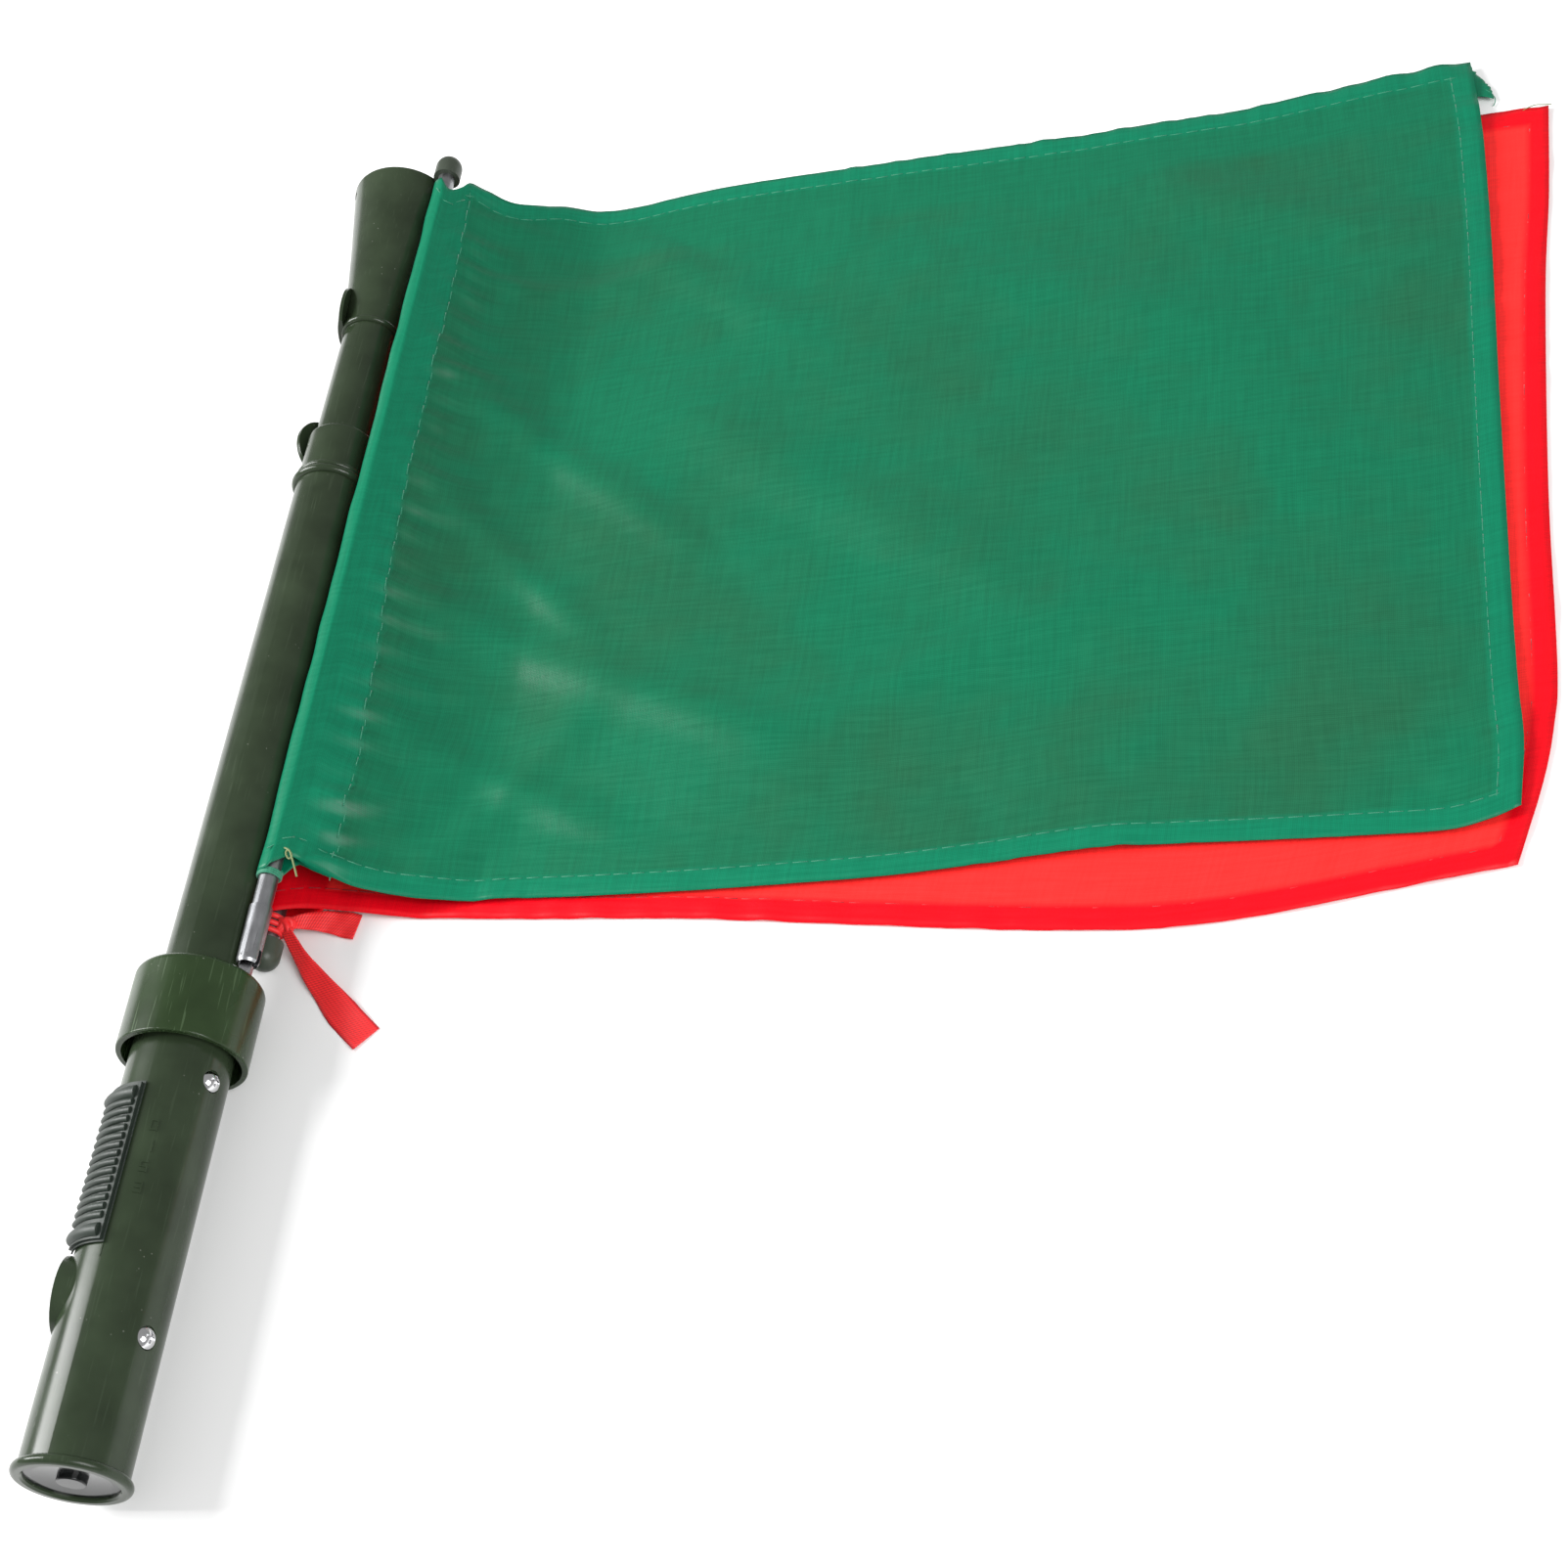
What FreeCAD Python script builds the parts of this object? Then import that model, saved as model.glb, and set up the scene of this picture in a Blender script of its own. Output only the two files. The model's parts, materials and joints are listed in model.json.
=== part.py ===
"""Hand signal lamp with two flags, built as separate pieces.

Working frame: the lamp's axis runs along +Y from the handle's end face (y = 0) to the
head, +Z is up, and +X points to the side where the flags lie. An azimuth is measured
round the lamp's axis from +X towards +Z. Lengths are millimetres, angles degrees.
At export the whole lamp is moved so that it stands on z = 0, centred in X and Y.
"""
import FreeCAD, Part
import math
import os

V = FreeCAD.Vector
ORIGIN = V(0, 0, 0)
AXIS = V(0, 1, 0)

# Clearances
RUN = 0.05            # radial clearance of a running fit
GAP = 0.3             # between pieces that move past each other
FIT = 0.1             # between pieces of one body that only sit near each other

# Handle
HANDLE_R = 15.0
HANDLE_WALL = 2.0
HANDLE_LENGTH = 139.0
BEAD_R = 1.5          # rounded rim at the handle's end
MOUTH_CHAMFER = 0.6
SCREW_AZ = 18.0
SCREW_YS = (39.3, 117.5)
SCREW_HEAD_R = 3.25
SCREW_HEAD_H = 1.9
SCREW_SHANK_R = 1.5
SCREW_SPOT_DEPTH = 0.4

# Tail plug and battery
PLUG_Y = 1.2
PLUG_DISC = 2.2
PLUG_LENGTH = 5.8
PLUG_DISH = 0.6
STUD_R = 4.15
STUD_RISE = 1.5
CELL_R = 7.25
CELL_LENGTH = 50.5
CELL_START = 9.0
CELL_COUNT = 2
TERMINAL_R = 2.75
TERMINAL_H = 1.2
CHASSIS_WALL = 1.2
FRONT_CONTACT_T = 0.8
CHASSIS_RING = 4.0
BOARD_LIFT = 0.2      # height of the chassis lands under the boards

# Thumb slider
SLIDER_AZ = 120.0
SLIDER_START = 62.6
SLIDER_LENGTH = 49.6
SLIDER_STEP = 5.2
SLIDER_STEPS = 3
SLIDER_HALF_ANGLE = 27.0
FLANGE_HALF_ANGLE = 30.0
FLANGE_T = 0.8
SLIDER_BASE_T = 1.7
RIB_COUNT = 14
RIB_PITCH = 2.68
FIRST_RIB_IN = 7.06
RIB_R = 1.15
END_RIB_R = 2.2
END_RIB_TOP_IN = 3.9  # end ridges, measured in from the slider's two ends
END_RIB_LOW_IN = 3.3
RIB_HALF_ANGLE = 23.0
RIB_TOP = 3.2         # height of the end ridges over the handle
STEM_W = 4.0
STEM_LENGTH = 8.0
STEM_OFFSET = 17.0    # stem's start from the slider's lower end
MARK_AZ = 70.0
MARK_TOP_Y = 98.9
MARK_PITCH = 6.43
MARK_HEIGHT = 3.3
MARK_WIDTH = 2.3
MARK_STROKE = 0.45
MARK_RISE = 0.22

# Side push button
BUTTON_AZ = 165.0
BUTTON_Y = 51.5
BUTTON_BEZEL_R = 11.4
BUTTON_R = 7.8
BUTTON_TOP = 2.4      # apex over the handle's surface
BUTTON_TRAVEL = 1.2
BUTTON_BOARD_T = 0.8

# Collar
COLLAR_R = 19.4
COLLAR_WALL = 1.7
COLLAR_START = 126.9
COLLAR_LENGTH = 26.5
COLLAR_PLATE = 4.0
COLLAR_HUB_R = 15.6
COLLAR_HUB_LENGTH = 11.0
COLLAR_ROUND = 2.4
SNAP_WIRE_R = 0.8

# Middle tube, ferrule and neck
MID_R = 12.45
MID_TOP_R = 11.7
MID_WALL = 1.8
MID_END = 350.8
SPIGOT_START = 113.0
LOW_BEAD_Y = 347.0
LOW_BEAD_R = 1.5
HIGH_BEAD_Y = 349.6
HIGH_BEAD_R = 1.0
FERRULE_R = 11.65
FERRULE_END = 368.3
FERRULE_ROUND = 1.7
FERRULE_SPIGOT = 10.0
NECK_R = 9.9
NECK_TOP_R = 9.5
NECK_SPIGOT_R = 8.6
NECK_WALL = 1.6
NECK_CLIP_R = 9.5
LEAD_R = 1.6

# Holding magnet on the back of the ferrule
MAGNET_AZ = 208.0
MAGNET_Y = 370.0
MAGNET_CUP_R = 11.2
MAGNET_FACE = 12.5    # face of the magnet from the lamp's axis
MAGNET_T = 0.8
MAGNET_WALL = 1.1

# Head
HEAD_START = 417.8
HEAD_BEAD_R = 1.25
HEAD_BASE_R = 9.95
HEAD_R = 18.75
HEAD_END = 486.6
HEAD_WALL = 1.5
HEAD_FLARE = 0.45     # how far the trumpet's side is hollowed at mid-length
LENS_SEAT_R = 16.2
LENS_Y = 474.0
LENS_T = 2.5
LENS_DOME = 1.0
LENS_RING_T = 2.6
LENS_RING_W = 1.4
LED_BOARD_T = 1.2
HEAD_BORE_DEPTH = 12.0
LED_CIRCLE_R = 2.9
LED_R = 1.5
LED_H = 3.2
REFLECTOR_BASE_R = 5.6
REFLECTOR_T = 0.8
LANYARD_HOLE_R = 1.5
LANYARD_AZ = 148.0
LANYARD_Y = 483.4
EYELET_R = 2.4
BOSS_AZ = 166.0
BOSS_Y = 426.0
BOSS_R = 11.6
BOSS_TOP = 12.5

# Flag rods
ROD_R = 3.0
ROD_WALL = 0.8
SOCKET_R = 3.5
SOCKET_LENGTH = 19.4
SOCKET_END = 2.0      # socket beyond the pin
SOCKET_NOSE_R = 3.05   # socket's tapered end, clear of the tubes as it swings
SOCKET_TAPER = 0.9
CAP_R = 4.8
CAP_LENGTH = 6.0      # straight part of the cap
TAB_T = 1.5
TAB_R = 2.0
PIN_R = 0.9
GREEN_PIN = V(15.75, 158.6, 4.5)
GREEN_TIP = V(20.75, 487.6, 11.85)
RED_PIN = V(15.6, 480.0, -15.4)
RED_TIP = V(10.2, 173.0, -14.4)
RED_PIN_TILT = 0.06   # lean of the red hinge pin, so the red flag drops clear of the green

# Flags: outlines seen from above, clockwise from the sleeve's lower end
CLOTH = 0.6
SLEEVE_GAP = 0.25
GREEN_LIFT = 1.6      # underside of the green flag over the table
GREEN_LAND_X = 75.0   # where the cloth comes down on the table
RED_LAND_X = 45.0
GREEN_SLEEVE = (188.0, 482.0)
RED_SLEEVE = (186.0, 459.0)
GREEN_OUTLINE = ((60, 190.5), (380.7, 205.3), (382.6, 516.1), (60, 492))
RED_OUTLINE = (
    (60, 185),
    (140, 181),
    (279.5, 171.7),
    (378.8, 187.8),
    (393.7, 256),
    (399.9, 405.4),
    (406.4, 492.6),
    (60, 463),
)

# Tie ribbon on the red flag and tie thread on the green one
RIBBON_W = 10.0
RIBBON_T = 0.6
GATHERED_W = 4.0      # ribbon's width where it comes out of the knot
RIBBON_ROUTE = (V(17.5, 178, -12.0), V(24, 171, -16.0), V(31, 163, -18.6), V(47, 144, -19.0))
RIBBON_TAIL_ROUTE = (V(17.5, 181, -12.0), V(27, 180.0, -16.8), V(38, 178.8, -18.0))
BAND_Y = 181.0
BAND_W = 6.0
KNOT_R = 3.0
THREAD_Y = 186.8
THREAD_R = 0.5

# Values worked out from the ones above
BORE_R = HANDLE_R - HANDLE_WALL
TABLE_Z = -COLLAR_R
COLLAR_END = COLLAR_START + COLLAR_LENGTH
SLIDER_TRAVEL = SLIDER_STEP * SLIDER_STEPS
STEM_START = SLIDER_START + STEM_OFFSET
CELLS_END = CELL_START + CELL_COUNT * CELL_LENGTH
CHASSIS_R = CELL_R + 0.35 + CHASSIS_WALL
SPIGOT_R = BORE_R - RUN
COLLAR_INNER_R = COLLAR_R - COLLAR_WALL
SNAP_Y = COLLAR_END - COLLAR_PLATE - SNAP_WIRE_R - 1.0
LED_BOARD_Y = HEAD_START + HEAD_BORE_DEPTH
REFLECTOR_START = LED_BOARD_Y + LED_BOARD_T
STUD_FACE = PLUG_Y + PLUG_DISH - STUD_RISE


# Small builders

def at_azimuth(shape, azimuth):
    """Turns a shape modelled at +X round the lamp's axis."""
    turned = shape.copy()
    turned.rotate(ORIGIN, AXIS, -azimuth)
    return turned


def radial(azimuth):
    a = math.radians(azimuth)
    return V(math.cos(a), 0, math.sin(a))


def along_y(y0, y1, radius, radius_1=None):
    if radius_1 is None or abs(radius_1 - radius) < 1e-9:
        return Part.makeCylinder(radius, y1 - y0, V(0, y0, 0), AXIS)
    return Part.makeCone(radius, radius_1, y1 - y0, V(0, y0, 0), AXIS)


def tube(y0, y1, outer, inner):
    return along_y(y0, y1, outer).cut(along_y(y0, y1, inner))


def ring_bead(y, radius, bead):
    return Part.makeTorus(radius, bead, V(0, y, 0), AXIS)


def bar(start, end, radius):
    way = end - start
    return Part.makeCylinder(radius, way.Length, start, way)


def stud(u0, u1, radius, y=0.0):
    """Round post along +X, between two distances from the lamp's axis."""
    return Part.makeCylinder(radius, u1 - u0, V(u0, y, 0), V(1, 0, 0))


def block(u0, u1, y0, y1, half_width):
    return Part.makeBox(u1 - u0, y1 - y0, 2 * half_width, V(u0, y0, -half_width))


def fused(shapes):
    shapes = list(shapes)
    return shapes[0].multiFuse(shapes[1:]).removeSplitter() if len(shapes) > 1 else shapes[0]


def wedge(half_angle, reach, y0, y1):
    """Prism that holds every direction within half_angle of +X."""
    a = math.radians(half_angle)
    points = [V(0, y0, 0), V(reach, y0, -reach * math.tan(a)), V(reach, y0, reach * math.tan(a))]
    return Part.Face(Part.makePolygon(points + points[:1])).extrude(V(0, y1 - y0, 0))


def spun(points):
    """Turns an outline of (radius, y) points about the lamp's axis."""
    corners = [V(r, y, 0) for r, y in points]
    return Part.Face(Part.makePolygon(corners + corners[:1])).revolve(ORIGIN, AXIS, 360)


# Handle

def handle_tube():
    body = along_y(0, HANDLE_LENGTH, HANDLE_R).fuse(ring_bead(BEAD_R, HANDLE_R, BEAD_R))
    body = body.cut(along_y(-1, HANDLE_LENGTH + 1, BORE_R))
    body = body.cut(along_y(0, MOUTH_CHAMFER, BORE_R + MOUTH_CHAMFER, BORE_R))
    body = body.cut(slider_slot())
    for y in SCREW_YS:
        body = body.cut(at_azimuth(stud(BORE_R - 2, HANDLE_R + 2, SCREW_SHANK_R + FIT, y), SCREW_AZ))
        spot = stud(HANDLE_R - SCREW_SPOT_DEPTH, HANDLE_R + 2, SCREW_HEAD_R + 0.2, y)
        body = body.cut(at_azimuth(spot, SCREW_AZ))
    body = body.cut(at_azimuth(stud(5, HANDLE_R + 2, BUTTON_R + GAP, BUTTON_Y), BUTTON_AZ))
    return body.multiFuse(position_marks() + [slider_track()])


def slider_slot():
    y1 = STEM_START + STEM_LENGTH + SLIDER_TRAVEL + GAP
    slot = block(BORE_R - 4, HANDLE_R + 2, STEM_START - GAP, y1, STEM_W / 2 + GAP)
    return at_azimuth(slot, SLIDER_AZ)


def slider_track():
    """Thin raised line that carries on below the slider's right edge."""
    line = tube(SLIDER_START - 4.0, SLIDER_START - GAP, HANDLE_R + 0.15, HANDLE_R - 0.3)
    line = line.common(wedge(0.9, 30, SLIDER_START - 5, SLIDER_START))
    return at_azimuth(line, SLIDER_AZ - FLANGE_HALF_ANGLE + 1.5)


DIGIT_STROKES = (
    ("top", "bottom", "left_up", "left_down", "right_up", "right_down"),
    ("right_up", "right_down"),
    ("top", "middle", "bottom", "right_up", "left_down"),
    ("top", "middle", "bottom", "right_up", "right_down"),
)


def stroke_box(name):
    """One stroke of a digit as (y, z, length along y, length along z) about its middle."""
    h, w, s = MARK_HEIGHT / 2, MARK_WIDTH / 2, MARK_STROKE
    level = {"top": -h + s / 2, "middle": 0.0, "bottom": h - s / 2}
    if name in level:
        return level[name], 0.0, s, MARK_WIDTH
    side, half = name.split("_")
    z = (w - s / 2) * (1 if side == "left" else -1)
    y = (-h / 2 if half == "up" else h / 2)
    return y, z, h + s / 2, s


def position_marks():
    """Raised digits 0 to 3 beside the slider, read with the head pointing down."""
    skin = tube(0, HANDLE_LENGTH, HANDLE_R + MARK_RISE, HANDLE_R - 0.4)
    marks = []
    for number, strokes in enumerate(DIGIT_STROKES):
        centre = MARK_TOP_Y - number * MARK_PITCH
        for name in strokes:
            y, z, ly, lz = stroke_box(name)
            box = Part.makeBox(6, ly, lz, V(HANDLE_R - 3, centre + y - ly / 2, z - lz / 2))
            marks.append(at_azimuth(box, MARK_AZ).common(skin))
    return marks


def pan_head_screw(y):
    base = HANDLE_R - SCREW_SPOT_DEPTH
    dome_r = (SCREW_HEAD_R ** 2 + SCREW_HEAD_H ** 2) / (2 * SCREW_HEAD_H)
    dome = Part.makeSphere(dome_r, V(base + SCREW_HEAD_H - dome_r, y, 0))
    head = stud(base, base + SCREW_HEAD_H, SCREW_HEAD_R, y).common(dome)
    tip = base - (HANDLE_WALL + 3.4)
    screw = head.fuse(stud(tip, base + 0.1, SCREW_SHANK_R, y))
    top = base + SCREW_HEAD_H
    for long_y, long_z in ((3.4, 0.75), (0.75, 3.4)):
        arm = Part.makeBox(2, long_y, long_z, V(top - 1.2, y - long_y / 2, -long_z / 2))
        screw = screw.cut(arm)
    return at_azimuth(screw, SCREW_AZ)


def handle_screws():
    return Part.makeCompound([pan_head_screw(y) for y in SCREW_YS])


def button_sphere():
    """Ball whose cap gives the button and its bezel one shared dome."""
    apex = HANDLE_R + BUTTON_TOP
    rise = BUTTON_TOP - 0.5
    ball_r = (BUTTON_BEZEL_R ** 2 + rise ** 2) / (2 * rise)
    return Part.makeSphere(ball_r, V(apex - ball_r, BUTTON_Y, 0))


def button_bezel():
    ring = stud(8, HANDLE_R + 5, BUTTON_BEZEL_R, BUTTON_Y).common(button_sphere())
    ring = ring.cut(stud(5, HANDLE_R + 6, BUTTON_R + GAP, BUTTON_Y))
    ring = ring.cut(along_y(0, HANDLE_LENGTH, HANDLE_R))
    return at_azimuth(ring, BUTTON_AZ)


def side_button():
    foot = HANDLE_R - 0.7
    cap = stud(foot, HANDLE_R + 5, BUTTON_R, BUTTON_Y).common(button_sphere())
    nose = stud(switch_top() + BUTTON_TRAVEL + FIT, foot + 0.1, 1.5, BUTTON_Y)
    return at_azimuth(cap.fuse(nose), BUTTON_AZ)


def switch_top():
    return CHASSIS_R + BOARD_LIFT + BUTTON_BOARD_T + 1.8 + 0.7


def button_board():
    u = CHASSIS_R + BOARD_LIFT
    return at_azimuth(block(u, u + BUTTON_BOARD_T, *button_board_span(), 3.5), BUTTON_AZ)


def button_switch():
    u = CHASSIS_R + BOARD_LIFT + BUTTON_BOARD_T
    body = block(u, u + 1.8, BUTTON_Y - 2.3, BUTTON_Y + 2.3, 2.3)
    return at_azimuth(body.fuse(stud(u + 1.7, switch_top(), 1.2, BUTTON_Y)), BUTTON_AZ)


# Tail plug and battery

def tail_plug():
    y1 = PLUG_Y + PLUG_LENGTH
    plug = along_y(PLUG_Y, y1, BORE_R - RUN)
    plug = plug.cut(along_y(PLUG_Y + PLUG_DISC, y1 + 1, BORE_R - 1.8))
    dish_r = (11.0 ** 2 + PLUG_DISH ** 2) / (2 * PLUG_DISH)
    plug = plug.cut(Part.makeSphere(dish_r, V(0, PLUG_Y + PLUG_DISH - dish_r, 0)))
    plug = plug.cut(along_y(PLUG_Y - 1, y1, 1.6))
    return plug.cut(seal_ring())


def seal_ring():
    return ring_bead(PLUG_Y + PLUG_LENGTH - 2.2, BORE_R - RUN - 0.62, 0.6)


def plug_stud():
    inner = PLUG_Y + PLUG_DISC
    nub = along_y(STUD_FACE, PLUG_Y + PLUG_DISH, STUD_R)
    nub = nub.makeFillet(0.5, [e for e in nub.Edges if abs(e.BoundBox.YMax - STUD_FACE) < 1e-6])
    dish_r = (11.0 ** 2 + PLUG_DISH ** 2) / (2 * PLUG_DISH)
    nub = nub.common(Part.makeSphere(dish_r, V(0, PLUG_Y + PLUG_DISH - dish_r, 0)))
    foot = along_y(inner, inner + 0.6, 3.6)
    return fused([nub, along_y(STUD_FACE + 0.5, inner + 0.3, 1.6), foot])


def coil_spring(radius, wire, y0, y1, turns):
    pitch = (y1 - y0 - 2 * wire) / turns
    path = Part.makeHelix(pitch, pitch * turns, radius)
    start = Part.Wire(Part.makeCircle(wire, V(radius, 0, 0), V(0, 1, 0)))
    coil = Part.Wire(path.Edges).makePipeShell([start], True, True)
    coil.rotate(ORIGIN, V(1, 0, 0), -90)
    coil.translate(V(0, y0 + wire, 0))
    return coil


def battery_spring():
    return coil_spring(5.0, 0.45, PLUG_Y + PLUG_DISC + FIT, CELL_START - RUN, 4)


def battery_cell(number):
    y0 = CELL_START + number * CELL_LENGTH
    y1 = y0 + CELL_LENGTH - TERMINAL_H
    return along_y(y0, y1, CELL_R).fuse(along_y(y1 - 0.1, y1 + TERMINAL_H, TERMINAL_R))


def chassis():
    y0 = CELL_START - 0.5
    y1 = CELLS_END + 2.0
    body = along_y(y0, y1, CHASSIS_R)
    for ring_y in (SCREW_YS[0] - CHASSIS_RING / 2, y1 - CHASSIS_RING):
        body = body.fuse(along_y(ring_y, ring_y + CHASSIS_RING, BORE_R - FIT))
    body = body.multiFuse(board_lands(button_board_span(), BUTTON_AZ))
    body = body.multiFuse(board_lands(switch_board_span(), SLIDER_AZ))
    body = body.cut(along_y(y0 - 1, y1 + 1, CELL_R + 0.35))
    return body.cut(at_azimuth(stud(5, BORE_R + 2, SCREW_SHANK_R, SCREW_YS[0]), SCREW_AZ))


def board_lands(span, azimuth):
    """Two low blocks on the chassis that a board's ends sit on."""
    lands = []
    for y in (span[0], span[1] - 2.5):
        land = block(CHASSIS_R - 0.8, CHASSIS_R + BOARD_LIFT, y, y + 2.5, 3.0)
        lands.append(at_azimuth(land, azimuth))
    return lands


def button_board_span():
    return BUTTON_Y - 5.5, BUTTON_Y + 5.5


def switch_board_span():
    return STEM_START - 6, STEM_START + STEM_LENGTH + SLIDER_TRAVEL


def front_contact():
    return along_y(CELLS_END, CELLS_END + FRONT_CONTACT_T, CELL_R + 0.35)


# Slider

def slider_skin(y0, y1, height, half_angle):
    shell = tube(y0, y1, HANDLE_R + height, HANDLE_R + GAP)
    return shell.common(wedge(half_angle, 40, y0 - 1, y1 + 1))


def slider_rib(y, radius, top):
    """Half-round bar that follows the handle's curve."""
    bead = ring_bead(y, HANDLE_R + top - radius, radius)
    bead = bead.cut(along_y(y - 2 * radius, y + 2 * radius, HANDLE_R + FLANGE_T / 2 + GAP))
    return bead.common(wedge(RIB_HALF_ANGLE, 40, y - 5, y + 5))


def thumb_slider():
    y0 = SLIDER_START
    y1 = SLIDER_START + SLIDER_LENGTH
    pieces = [slider_skin(y0, y1, FLANGE_T, FLANGE_HALF_ANGLE)]
    pieces.append(slider_skin(y0 + 0.6, y1 - 0.6, SLIDER_BASE_T, SLIDER_HALF_ANGLE))
    first = y1 - FIRST_RIB_IN - RIB_PITCH * (RIB_COUNT - 1)
    for number in range(RIB_COUNT):
        pieces.append(slider_rib(first + number * RIB_PITCH, RIB_R, RIB_TOP - 0.5))
    for y in (y0 + END_RIB_LOW_IN, y1 - END_RIB_TOP_IN):
        pieces.append(slider_rib(y, END_RIB_R, RIB_TOP))
    stem = block(carriage_top(), HANDLE_R + 1, STEM_START, STEM_START + STEM_LENGTH, STEM_W / 2)
    return at_azimuth(pieces[0].multiFuse(pieces[1:] + [stem]), SLIDER_AZ)


def board_top():
    return CHASSIS_R + BOARD_LIFT + 1.0


def carriage_top():
    return board_top() + 0.2 + 0.7 + 1.0


def slider_carriage():
    top = carriage_top()
    plate = block(top - 1.0, top, STEM_START - 3, STEM_START + STEM_LENGTH + 3, 3.6)
    return at_azimuth(plate, SLIDER_AZ)


def slider_wiper():
    """Bent spring contact under the carriage."""
    top = carriage_top() - 1.0
    y0 = STEM_START + 1.0
    foot = block(top - 0.3, top, y0, y0 + 6.0, 1.6)
    leg = block(board_top() + 0.25, top - 0.1, y0 + 5.0, y0 + 6.0, 1.6)
    return at_azimuth(foot.fuse(leg), SLIDER_AZ)


def switch_board():
    board = block(CHASSIS_R + BOARD_LIFT, board_top(), *switch_board_span(), 4.6)
    return at_azimuth(board, SLIDER_AZ)


def switch_contacts():
    """One flat pad under the wiper for each stop of the slider."""
    pads = []
    for stop in range(SLIDER_STEPS + 1):
        y = STEM_START + 6.5 + stop * SLIDER_STEP
        pads.append(at_azimuth(block(board_top(), board_top() + 0.15, y - 1.8, y + 1.8, 1.8), SLIDER_AZ))
    return Part.makeCompound(pads)


# Collar and middle tube

def collar():
    body = along_y(COLLAR_START, COLLAR_END, COLLAR_R)
    top = [e for e in body.Edges if abs(e.BoundBox.YMin - COLLAR_END) < 1e-6]
    body = body.makeFillet(COLLAR_ROUND, top)
    body = body.cut(along_y(COLLAR_START - 1, COLLAR_END - COLLAR_PLATE, COLLAR_INNER_R))
    hub_y = COLLAR_END - COLLAR_HUB_LENGTH
    body = body.fuse(along_y(hub_y, COLLAR_END - COLLAR_PLATE + 1, COLLAR_HUB_R))
    body = body.cut(along_y(hub_y - 1, COLLAR_END + 1, MID_R + RUN))
    body = body.cut(ring_bead(SNAP_Y, MID_R, SNAP_WIRE_R + RUN))
    body = body.cut(green_tab())
    lip = [e for e in body.Edges if abs(e.BoundBox.YMax - COLLAR_START) < 1e-6]
    outer = [e for e in lip if e.BoundBox.XMax > COLLAR_R - 0.1]
    return body.makeFillet(0.5, outer)


def collar_snap_ring():
    """Open wire ring that keeps the collar on the middle tube."""
    wire = ring_bead(SNAP_Y, MID_R, SNAP_WIRE_R)
    return wire.cut(wedge(8, 30, SNAP_Y - 2, SNAP_Y + 2))


def middle_tube():
    inner_top = MID_TOP_R - MID_WALL
    solid = along_y(SPIGOT_START, HANDLE_LENGTH, SPIGOT_R)
    solid = solid.fuse(along_y(HANDLE_LENGTH - 1, COLLAR_END + 1, MID_R))
    solid = solid.fuse(along_y(COLLAR_END + 1, MID_END, MID_R, MID_TOP_R))
    solid = solid.fuse(ring_bead(LOW_BEAD_Y, MID_TOP_R + 0.15, LOW_BEAD_R))
    solid = solid.fuse(ring_bead(HIGH_BEAD_Y, MID_TOP_R - 0.1, HIGH_BEAD_R))
    solid = solid.cut(along_y(SPIGOT_START - 1, COLLAR_END + 1, MID_R - MID_WALL))
    solid = solid.cut(along_y(COLLAR_END + 1, MID_END, MID_R - MID_WALL, inner_top))
    solid = solid.cut(along_y(MID_END - FERRULE_SPIGOT - 4, MID_END + 1, inner_top))
    solid = solid.cut(ring_bead(SNAP_Y, MID_R, SNAP_WIRE_R))
    return solid.cut(at_azimuth(stud(5, BORE_R + 2, SCREW_SHANK_R, SCREW_YS[1]), SCREW_AZ))


def ferrule():
    top = along_y(MID_END, FERRULE_END, FERRULE_R)
    rim = [e for e in top.Edges if abs(e.BoundBox.YMin - FERRULE_END) < 1e-6]
    top = top.makeFillet(FERRULE_ROUND, rim)
    low = along_y(MID_END - FERRULE_SPIGOT, MID_END + 1, MID_TOP_R - MID_WALL)
    body = top.fuse(low)
    body = body.cut(along_y(MID_END - FERRULE_SPIGOT - 1, FERRULE_END + 1, NECK_SPIGOT_R + RUN))
    return body.cut(magnet_cup())


def magnet_cup():
    face = MAGNET_FACE
    cup = stud(NECK_SPIGOT_R + 1.7, face, MAGNET_CUP_R, MAGNET_Y)
    rim = [e for e in cup.Edges if abs(e.BoundBox.XMin - face) < 1e-6]
    cup = cup.makeFillet(MAGNET_WALL, rim)
    cup = cup.cut(stud(face - MAGNET_T, face + 1, magnet_radius(), MAGNET_Y))
    neck_room = along_y(FERRULE_END - FERRULE_ROUND, MAGNET_Y + 20, NECK_R + GAP)
    ferrule_room = along_y(MAGNET_Y - 20, FERRULE_END - FERRULE_ROUND, FERRULE_R - 0.6)
    cup = cup.cut(neck_room).cut(ferrule_room)
    return at_azimuth(cup, MAGNET_AZ)


def magnet_radius():
    return MAGNET_CUP_R - 2 * MAGNET_WALL


def holding_magnet():
    plate = stud(MAGNET_FACE - MAGNET_T, MAGNET_FACE, magnet_radius() - FIT, MAGNET_Y)
    return at_azimuth(plate, MAGNET_AZ)


def lamp_lead():
    """Cable from the front contact to the head, straight along the axis."""
    return along_y(CELLS_END + FRONT_CONTACT_T, LED_BOARD_Y - GAP, LEAD_R)


# Head

def neck_tube():
    solid = along_y(FERRULE_END + FIT, HEAD_START, NECK_R, NECK_TOP_R)
    solid = solid.fuse(along_y(MID_END - FERRULE_SPIGOT - 3, FERRULE_END + 1, NECK_SPIGOT_R))
    solid = solid.fuse(along_y(HEAD_START - 1, HEAD_START + HEAD_BORE_DEPTH, NECK_SPIGOT_R))
    solid = solid.cut(along_y(MID_END - 30, HEAD_START + 20, NECK_SPIGOT_R - NECK_WALL))
    return solid.cut(neck_clip_ring())


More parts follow.
